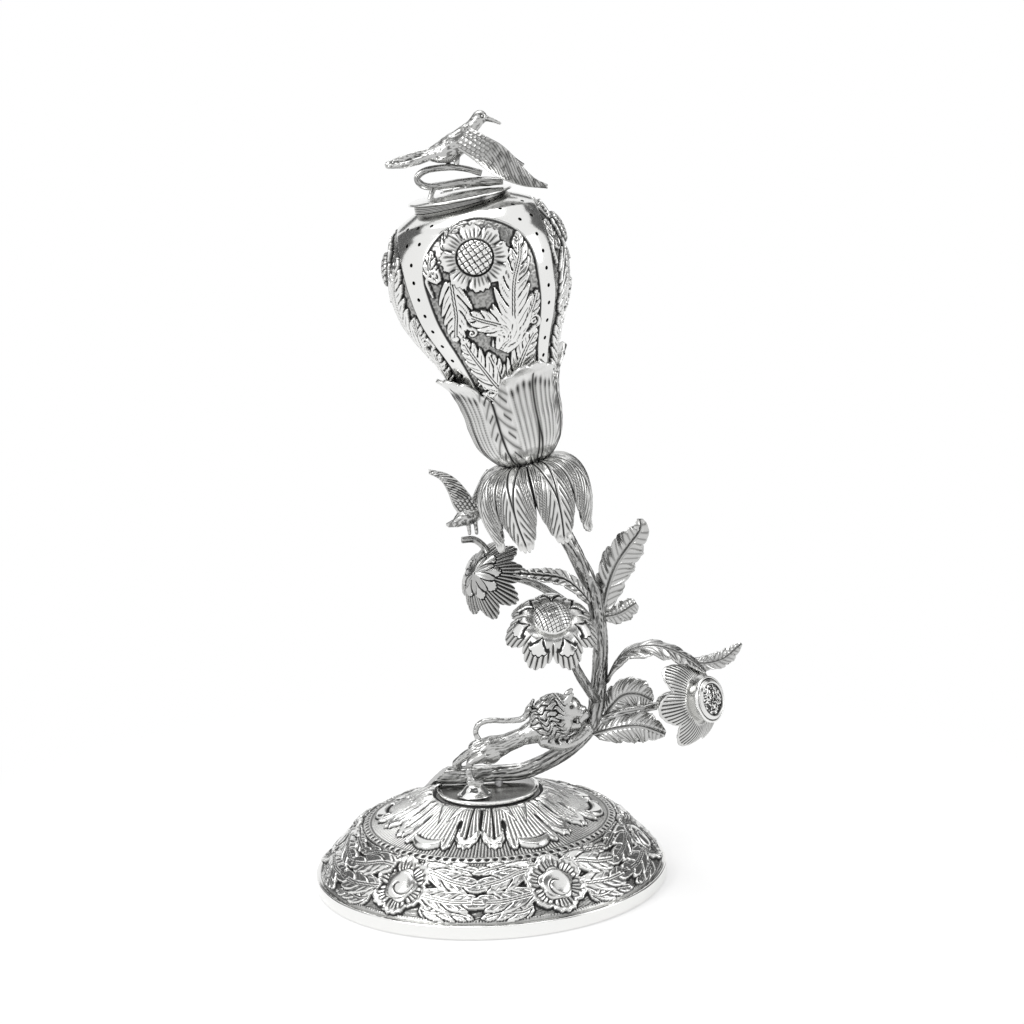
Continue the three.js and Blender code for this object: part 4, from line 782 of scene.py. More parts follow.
SLANT_AT = (-23.2, 4.5, -1)  # a point of the slanted cut
SLANT_ACROSS = (-0.643, 0, 0.766)  # square to the cut, out of the wood


def on_plate(points):
    """Lays points given from the middle of the plate's top."""
    return np.asarray(points, float) + (0, 0, DECK)


def carried_frames(path):
    """The direction of a path at each point, and two ways square to it, carried along without a twist."""
    ahead = unit(np.gradient(path, axis=0))
    aside = np.zeros_like(path)
    aside[0] = unit(np.cross(ahead[0], (0, 1, 0.2)))
    for i in range(1, len(path)):
        aside[i] = unit(aside[i - 1] - ahead[i] * (ahead[i] @ aside[i - 1]))
    return ahead, aside, np.cross(ahead, aside)


def limb(route, radii, sides, bark, grooves, seed, step=0.4):
    """A grid of points round and along a limb with wavy bark grooves, and the soot in them."""
    length = gone_along(smooth_route(route, 200))[-1]
    rows = max(6, int(length / step))
    path = smooth_route(route, rows)
    share = np.linspace(0, 1, rows)
    radius = np.interp(share, np.linspace(0, 1, len(radii)), radii)[:, None]
    ahead, aside, beyond = carried_frames(path)
    along = (share * length)[:, None]
    angle = np.linspace(0, 2 * np.pi, sides, endpoint=False)
    c, s = np.cos(angle), np.sin(angle)
    wander = 2.0 * speckle(along / 8 + 1.6 * c + seed, 40 + along / 13 + 1.6 * s)
    wander = wander + 0.7 * speckle(along / 2.6 + 3 * c + seed, 90 + seed + 3 * s + 0 * along)
    ridge = np.abs(np.sin(grooves * angle + 2.2 * wander + along / 30)) ** 0.6
    fine = np.abs(np.sin(3 * grooves * angle + 5 * wander)) ** 0.7
    knots = speckle(along / 5 + c + seed, 17 + seed + s)
    offset = bark * (ridge - 0.9 + 0.30 * (fine - 1) + 0.7 * (knots - 0.5))
    soot = 0.55 * (1 - ridge) ** 1.2 + 0.25 * (1 - fine)
    reach = (radius + offset)[..., None]
    grid = path[:, None] + reach * (aside[:, None] * c[:, None] + beyond[:, None] * s[:, None])
    return grid, np.clip(soot, 0, 1)


END_SHAPES = {
    # for each ring towards the middle: its share of the limb's radius, and how far it stands out
    "flat": [(0.94, 0.05), (0.84, 0.06), (0.6, 0.0), (0.36, 0.05), (0.12, 0.02)],
    "pith": [(0.90, 0.12), (0.72, 0.06), (0.52, 0.02), (0.40, -0.5), (0.15, -0.8)],
}
ROUND_END = 0.8  # how far a round end stands out, as a share of the limb's radius


def end_rings(ring, neighbour, kind):
    """The rings that close one end of a limb, and their soot: flat, round, or with a hole in the pith."""
    middle = ring.mean(0)
    out = unit(middle - neighbour.mean(0))
    if kind == "round":
        reach = ROUND_END * np.linalg.norm(ring - middle, axis=1).mean()
        shape = [(np.cos(a), reach * np.sin(a)) for a in np.linspace(0.3, 1.5, 5)]
    else:
        shape = END_SHAPES[kind]
    rings = np.array([middle + share * (ring - middle) + lift * out for share, lift in shape])
    soot = np.array([0.9 if lift < -0.1 else 0.05 for _, lift in shape])
    return rings, np.repeat(soot[:, None], len(ring), 1)


def capped(grid, soot, first, last):
    """A limb's grid of points with both ends closed, its faces, and its soot."""
    before, before_soot = end_rings(grid[0], grid[1], first)
    after, after_soot = end_rings(grid[-1], grid[-2], last)
    whole = np.concatenate([before[::-1], grid, after])
    dirt = np.concatenate([before_soot[::-1], soot, after_soot])
    rows, sides = dirt.shape
    lids = [np.arange(sides)[None, ::-1], ((rows - 1) * sides + np.arange(sides))[None]]
    return whole.reshape(-1, 3), [grid_quads(rows, sides, True), *lids], dirt.ravel()


def together(parts):
    """Points and groups of faces of several bodies, as those of one."""
    points, faces, count = [], [], 0
    for body_points, groups in parts:
        points.append(body_points)
        faces += [np.asarray(group) + count for group in groups]
        count += len(body_points)
    return np.concatenate(points), faces


def add_limbs(name, limbs, nodes, body="stand", lay=on_plate, depth=0.22):
    """One piece of bark-covered silver from limbs, each with its grid, its soot and the kinds of its ends."""
    bodies = [capped(grid, soot, *ends) for grid, soot, ends in limbs]
    points, faces = together([(p, f) for p, f, _ in bodies])
    mesh = make_mesh(name, lay(points), faces)
    tarnish(mesh, depth=depth, soot=np.concatenate([dirt for _, _, dirt in bodies]))
    put(mesh, bark_silver, body, nodes)


bark_silver = silver("bark_silver", bright=0.46, roughness=0.24, scratches=0.22)

branch_grid, branch_soot = limb(BRANCH_ROUTE, BRANCH_RADII, sides=56, bark=0.55, grooves=4, seed=3.0)
# each line of the grid starts where it leaves the slanted cut
beyond_cut = (branch_grid - SLANT_AT) @ np.array(SLANT_ACROSS)
rows = len(branch_grid)
for j in range(branch_grid.shape[1]):
    in_waste = np.where(beyond_cut[:, j] > 0)[0]
    in_waste = in_waste[in_waste < rows // 3]
    if len(in_waste) == 0:
        continue
    k = in_waste[-1]
    start = k + beyond_cut[k, j] / (beyond_cut[k, j] - beyond_cut[k + 1, j])
    places = np.linspace(start, rows - 1, rows)
    for axis in range(3):
        branch_grid[:, j, axis] = np.interp(places, np.arange(rows), branch_grid[:, j, axis])
add_limbs("branch_limb", [(branch_grid, branch_soot, ("flat", "flat"))], ["branch"])

# The flower twigs.
# Three thinner twigs of the same bark are soldered to the branch and carry the flowers.
TWIGS = [
    # the piece, its route, its radii from the branch on, and a number that sets its bark apart
    ("flower_1_twig", [(42.4, 4.6, 56.5), (34, 8, 63), (26.6, 10, 68.3), (19.4, 11, 72.5), (11, 10.5, 75.3),
                       (4, 8.4, 76.5)], (1.8, 1.5, 1.2), 11.0),
    ("flower_2_twig", [(40.4, 2.4, 30.2), (38.6, -1, 34), (36, -4, 39), (33.8, -7, 44), (31.5, -9, 50),
                       (28.4, -10.3, 57.6)], (2.0, 1.7, 1.3), 23.0),
    ("flower_3_twig", [(42.6, 3.9, 21.7), (50, 2.6, 24.5), (57, 2.8, 25.4), (64, 4.3, 26.1)],
     (1.8, 1.6, 1.4), 31.0),
]
for name, route, radii, seed in TWIGS:
    grid, soot = limb(route, radii, sides=32, bark=0.28, grooves=3, seed=seed)
    add_limbs(name + "_limb", [(grid, soot, ("flat", "flat"))], [name])

# The leaves of the branch.
# Each is cut from sheet, chased with ribs that fan out from the midrib, bent over a stake, and soldered on.
# The long arching one has parallel ribs.
LEAF_METAL = 0.9
LEAF_TIP = 0.97
NOTCH_SHARE = 0.24  # of the half width, between two lobes
TOOTH_SHARE = 0.06  # of the half width, between two teeth
TEETH_PER_LOBE = 3
RIB_DEPTH = 0.35
MIDRIB_DEPTH = 0.5


def sheet_body(middle, relief, metal, turned_over=False):
    """A sheet of metal about its middle surface, with a relief on its front and half of it on its back."""
    normal = unit(np.cross(np.gradient(middle, axis=1), np.gradient(middle, axis=0)))
    quads = grid_quads(*middle.shape[:2])
    if turned_over:
        normal, quads = -normal, quads[:, ::-1]
    front = middle + normal * (metal / 2 + relief)[..., None]
    back = middle - normal * (metal / 2 - 0.5 * relief)[..., None]
    return thicken(front.reshape(-1, 3), back.reshape(-1, 3), quads)


def add_leaf(node, spine, across, half_width, lobes, slant, cup, ruffle, ribs, tip=LEAF_TIP, rows=110,
             columns=54):
    """A leaf of sheet metal that follows a spine and spreads to both sides. Its ribs lean towards its tip."""
    u = np.linspace(0, 1, rows)[:, None]
    w = np.linspace(-1, 1, columns)[None, :]
    path = smooth_route(spine, 300)
    length = gone_along(path)[-1]
    ahead = unit(np.gradient(path, axis=0))
    wide = unit(np.asarray(across, float))
    out = unit(wide - ahead * (ahead @ wide)[:, None])
    whole = np.sin(np.pi * (0.06 + (tip - 0.06) * u) ** 0.8) ** 0.7
    lobe = wave(lobes * u) ** 0.5
    tooth = wave(lobes * TEETH_PER_LOBE * u) ** 0.7
    edge_share = 1 - NOTCH_SHARE + (NOTCH_SHARE - TOOTH_SHARE) * lobe + TOOTH_SHARE * tooth
    off = half_width * (whole * edge_share + 0.03) * w
    q = np.abs(w) + 0 * u
    t = np.clip(u + slant * np.abs(off) / length * (1 - u ** 3), 0, 1)
    spot = t * (len(path) - 1)
    low = np.minimum(spot.astype(int), len(path) - 2)
    rest = (spot - low)[..., None]
    spine_at, out_at, lift_at = (
        a[low] * (1 - rest) + a[low + 1] * rest for a in (path, out, np.cross(out, ahead)))
    wavy = ruffle * q ** 2 * np.cos(2 * np.pi * lobes * u + np.pi) * np.minimum(1, 3 * (1 - u)) * whole
    middle = spine_at + out_at * off[..., None] + lift_at * (cup * off ** 2 / half_width + wavy)[..., None]
    vein = wave(lobes * ribs * u + 0 * w) ** 0.7
    ribbed = soft_step(q, 0.04, 0.25) * (1 - soft_step(q, 0.88, 0.96))
    relief = RIB_DEPTH * (vein - 1) * ribbed - MIDRIB_DEPTH * bell(off, 0.30) * (u < 0.95)
    relief = relief + 0.4 * MIDRIB_DEPTH * bell(np.abs(off) - 0.75, 0.35)
    soot = 0.45 * (1 - vein) * ribbed + 0.7 * bell(off, 0.25)
    points, quads = sheet_body(middle, relief, LEAF_METAL)
    mesh = make_mesh(node + "_sheet", on_plate(points), quads)
    tarnish(mesh, depth=0.2, soot=np.tile(soot.ravel(), 2))
    put(mesh, leaf_silver, "stand", [node])


leaf_silver = silver("leaf_silver", bright=0.55, roughness=0.20, scratches=0.16)

add_leaf(
    "leaf_tall",
    [(44, 4.5, 61), (46.6, 5, 71), (50, 4.5, 79.6), (54.6, 3.5, 86.4), (58.6, 2.5, 92), (58.8, 3.6, 96)],
    (-0.75, 0.25, 0.5), 6.2, lobes=4, slant=0.9, cup=0.25, ruffle=0.9, ribs=4, rows=130,
)
add_leaf(
    "leaf_small", [(44.6, 4.5, 60), (50.6, 5.5, 61.1), (56.6, 6, 64.5)],
    (-0.4, 0.3, 0.9), 3.7, lobes=3, slant=0.5, cup=0.3, ruffle=0.5, ribs=3, tip=0.85, rows=60, columns=40,
)
add_leaf(
    "leaf_arching",
    [(44.6, 4, 35), (48.5, 2.5, 43.5), (54, 1, 48), (60.5, 0, 49.6), (67, -0.5, 48.3), (74.5, -2, 44.4),
     (80, -4, 40)],
    (0.2, 1, 0.35), 5, lobes=5, slant=1.6, cup=0.2, ruffle=0.5, ribs=3, rows=150,
)
add_leaf(
    "leaf_pointed", [(75, 3, 42.5), (81, 6, 40.8), (88, 8, 41.8), (94.6, 9, 46.6)],
    (0.2, 0.3, 0.95), 3.0, lobes=4, slant=1.2, cup=0.2, ruffle=0.4, ribs=3, rows=90, columns=40,
)
add_leaf(
    "leaf_low_back", [(43.5, 5, 23), (50, 6, 29.5), (56, 6, 30.2), (61.5, 5.4, 27.6)],
    (0.3, 0.3, 1), 6, lobes=4, slant=0.8, cup=0.1, ruffle=0.8, ribs=4, rows=90,
)
add_leaf(
    "leaf_low_front", [(39, 3, 16.8), (48, 0, 19.6), (56, -1.5, 20.4), (65, -3, 17.3)],
    (0.2, 0.4, 1), 6, lobes=4, slant=0.9, cup=0.25, ruffle=0.8, ribs=4, rows=100,
)
add_leaf(
    "leaf_narrow", [(40, 0.5, 66), (36, -3.5, 72.3), (30, -4.6, 77.4), (21, -4.6, 79.2), (12.6, -3.1, 79.8)],
    (0.3, 0.5, 0.8), 2.8, lobes=6, slant=1.4, cup=0.2, ruffle=0.3, ribs=2, columns=36,
)

# The flowers.
# Each is a ring of petals raised from one disc of sheet, with its own centre. The first hangs half closed,
# its back to the front. The second has a domed, cross-hatched centre. The third opens from a polished tube.
FLOWER_1_AT, FLOWER_1_FACES = (-0.9, 5, 78.3), (-0.6, -0.68, 0.42)
FLOWER_2_AT, FLOWER_2_FACES = (25.6, -12, 64.6), (0.05, -0.65, 0.75)
FLOWER_3_AT, FLOWER_3_FACES = (64, 4.4, 26.1), (0.75, -0.61, 0.24)


def facing(at, direction):
    """Lays points made about the upright axis so that the axis points along a direction from a place."""
    way = Vector(direction).normalized()
    rotation = np.array(Vector((0, 0, 1)).rotation_difference(way).to_matrix())
    return lambda points: on_plate(np.asarray(points, float) @ rotation.T + np.asarray(at, float))


def petal_ring(name, count, spine, notch, turn, relief, serration, teeth, lay, nodes, rows, sink=0.5,
               per_petal=56, shape=1.6, metal=0.9, depth=0.2, material=chased_silver):
    """Petals or leaves raised from one sheet about an axis. The spine runs down the middle of each, as radius
    and height. Between two of them the sheet stops short and sinks. relief gives height and soot over it."""
    columns = count * per_petal
    v = np.arange(columns) / columns
    phase = (2 * np.abs((count * v) % 1 - 0.5))[None, :]
    signed = (((count * v + 0.5) % 1) - 0.5)[None, :] * 2  # from -1 to 1 across a petal, 0 in its middle
    u = np.linspace(0, 1, rows)[:, None]
    path = smooth_route(spine, 400)
    edge = 1 - notch * (1 - phase) ** shape - serration * (1 - wave(teeth * signed))
    share = u * edge
    spot = share * (len(path) - 1)
    low = np.minimum(spot.astype(int), len(path) - 2)
    rest = (spot - low)[..., None]
    flat = path[low] * (1 - rest) + path[low + 1] * rest
    ahead = unit(np.gradient(path, axis=0))[low]
    height, soot = relief(share * gone_along(path)[-1], share, signed, flat[..., 0], edge)
    angle = np.radians(turn) + 2 * np.pi * v[None, :]

    def at(rise):
        lifted = rise - sink * u * (1 - phase) ** 2
        radius = flat[..., 0] - lifted * ahead[..., 1]
        level = flat[..., 1] + lifted * ahead[..., 0]
        return np.stack([radius * np.cos(angle), radius * np.sin(angle), level], -1).reshape(-1, 3)

    points, quads = thicken(
        at(metal / 2 + height), at(-metal / 2 + 0.4 * height), grid_quads(rows, columns, True)[:, ::-1])
    mesh = make_mesh(name, lay(points), quads)
    tarnish(mesh, depth=depth, soot=np.tile(soot.ravel(), 2))
    put(mesh, material, "stand", nodes)


def fluted_petals(flutes, start, depth, wedge=None, plain_rim=0.0):
    """Deep flutes along a petal from start outwards, with a smooth wedge between two petals."""
    def relief(gone, share, signed, radius, edge):
        t = share / edge
        flute = np.abs(np.cos(np.pi * flutes / 2 * signed)) ** 0.6
        on = soft_step(t, start, start + 0.12) * (1 - soft_step(t, 1 - plain_rim, 1.001 - plain_rim * 0.7))
        on = on * (1 - 0.6 * soft_step(t, 0.86, 1.0))
        height = depth * (flute - 1) * on
        soot = 0.18 + 0.7 * (1 - flute) ** 1.5 * on
        if wedge:
            low, high, spread = wedge
            inside = (t > low) & (t < high) & (np.abs(signed) < spread * (t - low) / (high - low))
            near = (t > low - 0.03) & (t < high + 0.04)
            rim = near & ~inside & (np.abs(signed) < spread * (t - low + 0.05) / (high - low) + 0.06)
            height = np.where(inside, 0.35, np.where(rim, -0.35, height))
            soot = np.where(inside, 0, np.where(rim, 1, soot))
        return height, soot
    return relief


petal_ring(
    "flower_1_petals", 8, [(0.3, 0.4), (5, -1.8), (10, -5.8), (14.6, -11.4)],
    notch=0.26, turn=22.5, relief=fluted_petals(6, 0.46, 1.0, wedge=(0.16, 0.50, 0.72)),
    serration=0.05, teeth=3, lay=facing(FLOWER_1_AT, FLOWER_1_FACES), nodes=["flower_1_bell"], rows=90,
    material=leaf_silver,
)
petal_ring(
    "flower_2_petal_ring", 7, [(0.4, -1.4), (5, -1.2), (10, -1.6), (14, -5), (16.6, -9.8)],
    notch=0.28, turn=-13, relief=fluted_petals(7, 0.62, 0.8, wedge=(0.42, 0.72, 0.6)),
    serration=0.05, teeth=3, lay=facing(FLOWER_2_AT, FLOWER_2_FACES), nodes=["flower_2_petals"], rows=90,
)
petal_ring(
    "flower_3_petal_ring", 6, [(6.4, 17.2), (9.5, 17.8), (13, 15.4), (16, 10.6)],
    notch=0.42, turn=-10, relief=fluted_petals(11, 0.18, 0.55, plain_rim=0.10),
    serration=0.02, teeth=3, lay=facing(FLOWER_3_AT, FLOWER_3_FACES), nodes=["flower_3_petals"], rows=80,
)


def add_boss(name, radius, base, level, lay, nodes):
    """A solid button with a flat back and a patterned front. level gives height and soot over the disc."""
    rho = radius * np.linspace(1, 0.004, 70)[:, None]
    phi = np.linspace(0, 2 * np.pi, 180, endpoint=False)[None, :]
    x, y = rho * np.cos(phi), rho * np.sin(phi)
    height, soot = level(x, y, rho + 0 * phi)
    front = np.stack([x, y, height], -1)
    foot = front[:1].copy()
    foot[..., 2] = base
    whole = np.concatenate([foot * (0.02, 0.02, 1), foot, front])
    dirt = np.concatenate([0 * soot[:2], soot])
    mesh = make_mesh(name, lay(whole.reshape(-1, 3)), grid_quads(*dirt.shape, True))
    tarnish(mesh, depth=0.2, soot=dirt.ravel())
    put(mesh, chased_silver, "stand", nodes)


HATCHED_RISE, HATCHED_RADIUS = 4.2, 7.0
HATCH_PITCH = (1.5, 1.3)
HATCH_END = 6.4  # the radius at which the lines stop
BUTTON_LEVEL, BUTTON_RISE, BUTTON_BEND = 22.4, 1.5, 8.4
BUTTON_RIM = 6.3
STIPPLE_END = 5.6
STIPPLE_PITCH = 0.42


def hatched_dome(x, y, rho):
    """A crown cut into squares by two sets of slanting lines, with a plain rim."""
    crown = HATCHED_RISE * np.sqrt(np.clip(1 - (rho / HATCHED_RADIUS) ** 2, 0, 1)) ** 1.2
    a, b = (x + 0.35 * y) / HATCH_PITCH[0], (y - 0.55 * x) / HATCH_PITCH[1]
    square = soft_step(np.minimum(np.abs((a % 1) - 0.5), np.abs((b % 1) - 0.5)), 0.02, 0.12)
    in_line = (1 - square) * (1 - soft_step(rho, HATCH_END, HATCH_END + 0.2))
    return crown - 0.45 * in_line, in_line


def stippled_button(x, y, rho):
    """A low crown with punched spots inside a raised rim."""
    crown = BUTTON_LEVEL + BUTTON_RISE * np.sqrt(np.clip(1 - (rho / BUTTON_BEND) ** 2, 0, 1))
    spots = speckle(x / STIPPLE_PITCH + 50, y / STIPPLE_PITCH + 50)
    inside = soft_step(STIPPLE_END - rho, 0, 0.2)
    height = crown + inside * (0.35 * spots - 0.4) + 0.6 * bell(rho - BUTTON_RIM, 0.5)
    return height, inside * 0.75 * (spots < 0.55) + 0.9 * bell(rho - STIPPLE_END, 0.2)


add_boss("flower_2_dome", 6.9, 0.1, hatched_dome, facing(FLOWER_2_AT, FLOWER_2_FACES), ["flower_2_centre"])
add_boss("flower_3_stippled_button", 7.3, 22.3, stippled_button, facing(FLOWER_3_AT, FLOWER_3_FACES),
         ["flower_3_button"])

tube_outline = smooth_route(
    [(0.05, 0), (3.2, 0.5), (4.6, 3), (5.1, 7), (5.3, 13), (6.2, 17), (8.2, 21.8)], 60)
tube_mouth = [(8.4, 22.6), (8.1, 23.0), (7.6, 22.9), (7.6, 22.0), (0.05, 22.0)]
add_turned("flower_3_tube", np.concatenate([tube_outline, tube_mouth]), ["flower_3_trumpet"], 96, 0.6,
           polished_silver, closed=False, lay=facing(FLOWER_3_AT, FLOWER_3_FACES))

# The two calyxes.
# Each is one piece of cast and chased silver. Eight acanthus leaves droop over the branch's end, and four
# broad leaves stand up as a cup for the fruit. A screw holds the two together.
FRUIT_AT = np.array([18.8, 0, DECK + 119.7])
FRUIT_LEAN = np.radians(11.4)  # to the left


def lean(points, angle):
    """Points leaned to the right about the axis that runs from front to back."""
    c, s = np.cos(angle), np.sin(angle)
    return np.asarray(points, float) @ np.array([[c, 0, -s], [0, 1, 0], [s, 0, c]])


def on_fruit(points):
    """Lays points made upright along the fruit's leaning axis, from the joint of the two calyxes."""
    return lean(points, -FRUIT_LEAN) + FRUIT_AT


CALYX_LEAVES = 8
LOBE_LENGTH = 4.6


def drooping_leaf(gone, share, signed, radius, edge):
    """Two lines that close to one, side lobes that hang, each with a long drop-shaped cut, a plain tip."""
    off = np.abs(signed)
    to_mm = np.pi * radius / CALYX_LEAVES
    lens = 0.40 * (1 - soft_step(share, 0.0, 0.62))
    line = np.minimum(np.abs(off - lens), 1) * to_mm
    leaning = (gone - 1.9 * off * to_mm - 0.20 * (off * to_mm) ** 2) / LOBE_LENGTH
    lobes = wave(leaning) ** 0.5
    side = soft_step(off, lens + 0.10, lens + 0.2) * (1 - soft_step(share, 0.86, 0.92))
    side = side * soft_step(share, 0.12, 0.2)
    drops = bell(leaning % 1 - 0.5, 0.07) * side
    drops = drops * soft_step(off, 0.45, 0.55) * (1 - soft_step(off, 0.78, 0.88))
    gap = soft_step(off, 0.93, 0.985)
    tip = soft_step(share, 0.90, 0.97)
    height = -0.5 * bell(line, 0.28) + 0.55 * (lobes - 1) * side - 0.45 * drops - 0.7 * gap + 0.9 * tip
    height = height + 0.35 * (1 - off ** 2)
    soot = 0.14 + 0.85 * bell(line, 0.26) * (share < 0.93)
    soot = soot + 0.6 * (1 - lobes) * side + 0.7 * drops + 0.9 * gap
    return height, np.clip(soot, 0, 1)


petal_ring(
    "lower_calyx_leaves", CALYX_LEAVES,
    [(6.4, -0.7), (10.4, -0.5), (14.9, -2), (18.2, -5.4), (20, -10.6), (20, -16.5), (18.4, -23),
     (16.2, -28.4)],
    notch=0.40, turn=-112.5, relief=drooping_leaf, serration=0.03, teeth=4, lay=on_fruit,
    nodes=["lower_calyx"], rows=120, sink=1.2, per_petal=72, shape=2.4, metal=1.0, depth=0.3,
)
add_turned("lower_calyx_socket", rounded([
    (2.3, -8), (7, -8), (8.4, -1), (8.4, -0.05), (2.3, -0.05),
], 0.3), [], 96, 0.6, chased_silver, lay=on_fruit)

CUP_LEAVES = 4
CUP_RIBS = 6.5
CUP_LOBE_LENGTH = 6.2
RIBS_HALF = 0.60  # of a leaf's half width, beside which the side lobes lie
RIBS_END = 0.80  # of a leaf's length


def upright_leaf(gone, share, signed, radius, edge):
    """Ribs that fan out from the root, dotted grooves between them, and a broad polished lip."""
    t = share / edge
    shifted = signed - 0.06
    off = np.abs(shifted)
    to_mm = np.pi * radius / CUP_LEAVES
    lens = 0.10 * (1 - soft_step(t, 0.0, 0.5))
    midrib = bell(np.abs(off - lens) * to_mm, 0.26) * (t < 0.9)
    ribs = np.abs(np.cos(np.pi * CUP_RIBS * shifted * (1 + 0.15 * (1 - t)))) ** 0.5
    dots = 0.6 + 0.4 * np.sin(2 * np.pi * gone / 0.9)
    ribbed = (1 - soft_step(off, RIBS_HALF, RIBS_HALF + 0.04)) * (1 - soft_step(t, RIBS_END, RIBS_END + 0.06))
    ribbed = ribbed * soft_step(t, 0.10, 0.3)
    ends = bell(t - RIBS_END, 0.04) * (1 - ribs) * (off < RIBS_HALF)
    leaning = (gone - 1.2 * off * to_mm) / CUP_LOBE_LENGTH
    lobes = wave(leaning - 0.10 * np.sin(9 * shifted)) ** 0.6
    side = soft_step(off, RIBS_HALF, RIBS_HALF + 0.06) * (1 - soft_step(np.abs(signed), 0.97, 1.0))
    drops = bell(leaning % 1 - 0.5, 0.055) * side * (off < 0.86) * (off > 0.70)
    gap = soft_step(np.abs(signed), 0.965, 0.992)
    height = -0.5 * midrib + 0.75 * (ribs - 1) * ribbed - 0.4 * ends
    height = height + side * (0.5 * (lobes - 1) + 0.25) - 0.45 * drops
    height = height - 0.6 * gap + 0.35 * (1 - signed ** 2) + 0.30 * soft_step(t, 0.84, 0.92)
    soot = 0.12 + 0.9 * midrib + 0.8 * (1 - ribs) * dots * ribbed + 0.8 * ends
    soot = soot + side * 0.6 * (1 - lobes) ** 2 + 0.8 * drops + gap
    return height, np.clip(soot, 0, 1)


petal_ring(
    "upper_calyx_leaves", CUP_LEAVES,
    [(8.6, 0.9), (11, 2.7), (13.6, 6), (15.4, 10), (16.5, 15.5), (17.1, 22), (18.9, 29), (21.8, 33.4),
     (25.0, 36.6)],
    notch=0.34, turn=-65, relief=upright_leaf, serration=0.04, teeth=2.5, lay=on_fruit, nodes=["upper_calyx"],
    rows=130, sink=0, per_petal=150, shape=2.2, metal=1.0, depth=0.22,
)
add_turned("upper_calyx_foot", rounded([
    (2.3, 0.35), (8.6, 0.35), (10.4, 2.4), (11.4, 4), (9.6, 4.4), (6.4, 3.5), (2.3, 3.5),
], 0.3), [], 96, 0.6, chased_silver, lay=on_fruit)

# The fruit.
# A hollow shell raised in two halves and soldered. Four arched panels are chased with a blossom, acanthus
# leaves and scrolls on a punched ground. The plain bands between them are pierced to let the scent out.
FRUIT_RADIUS = 32
FRUIT_BOTTOM = 4
FRUIT_TOP = 94
LIP_RADIUS = 16.6
SKIN = 1.7  # from the plain bands to the inside
PANEL_TURN = -88
PANEL_HALF_ANGLE = 38
ARCH_SPRING = 68
ARCH_TOP = 90.5
PIERCING_RADIUS = 0.7
PIERCING_ROWS = [(90.6, (-5.9, 0, 5.9)), (85.7, (-3, 3))] + [(79.5 - 6 * i, (0,)) for i in range(8)]
FRUIT_COLUMNS = 680
PUNCH_SIZE = 0.62
GROUND_DEPTH = 0.75  # of the ground that leaves, scrolls and blossom stand on, under the plain bands

fruit_shares = [
    # share of the radius, share of the height
    (0.41, 0.09), (0.48, 0.18), (0.55, 0.27), (0.63, 0.36), (0.74, 0.45), (0.86, 0.535), (0.95, 0.62),
    (1, 0.74), (0.985, 0.82), (0.93, 0.875), (0.85, 0.92), (0.745, 0.96),
]
fruit_rows = smooth_route(
    [(0.06, FRUIT_BOTTOM), (0.27 * FRUIT_RADIUS, FRUIT_BOTTOM + 1.8)]
    + [(r * FRUIT_RADIUS, FRUIT_BOTTOM + z * (FRUIT_TOP - FRUIT_BOTTOM)) for r, z in fruit_shares]
    + [(LIP_RADIUS, FRUIT_TOP)],
    350,
)
fruit_gone = gone_along(fruit_rows)


def panel_route(points):
    """Places given as degrees from the panel's middle and heights, as places on the flattened skin."""
    angle, height = np.asarray(points, float).T
    radius = np.interp(height, fruit_rows[:, 1], fruit_rows[:, 0])
    return np.stack([np.radians(angle) * radius, np.interp(height, fruit_rows[:, 1], fruit_gone)], -1)


panel_columns = FRUIT_COLUMNS // 4
panel_angle = (np.arange(panel_columns) + 0.5) / panel_columns * 90 - 45
x = np.radians(panel_angle)[None, :] * fruit_rows[:, :1]
y = fruit_gone[:, None] + 0 * x
level = fruit_rows[:, 1][:, None] + 0 * x
arch = np.clip((level - ARCH_SPRING) / (ARCH_TOP - ARCH_SPRING), 0, 1)
half_angle = PANEL_HALF_ANGLE * np.sqrt(1 - arch ** 3)
from_side = (half_angle - np.abs(panel_angle)) * np.radians(1) * fruit_rows[:, :1]
from_top = (ARCH_TOP - level) * 1.35
from_edge = np.where(level > ARCH_SPRING, np.minimum(from_side, from_top), from_side)
inside = soft_step(from_edge, 0.0, 0.55)
ground = speckle(x / PUNCH_SIZE, y / PUNCH_SIZE)
panel_relief = inside * (-0.65 + 0.14 * ground)
panel_soot = inside * (0.16 + 0.20 * (ground < 0.5))
panel_soot = panel_soot + 0.8 * bell(from_edge - 0.45, 0.28)

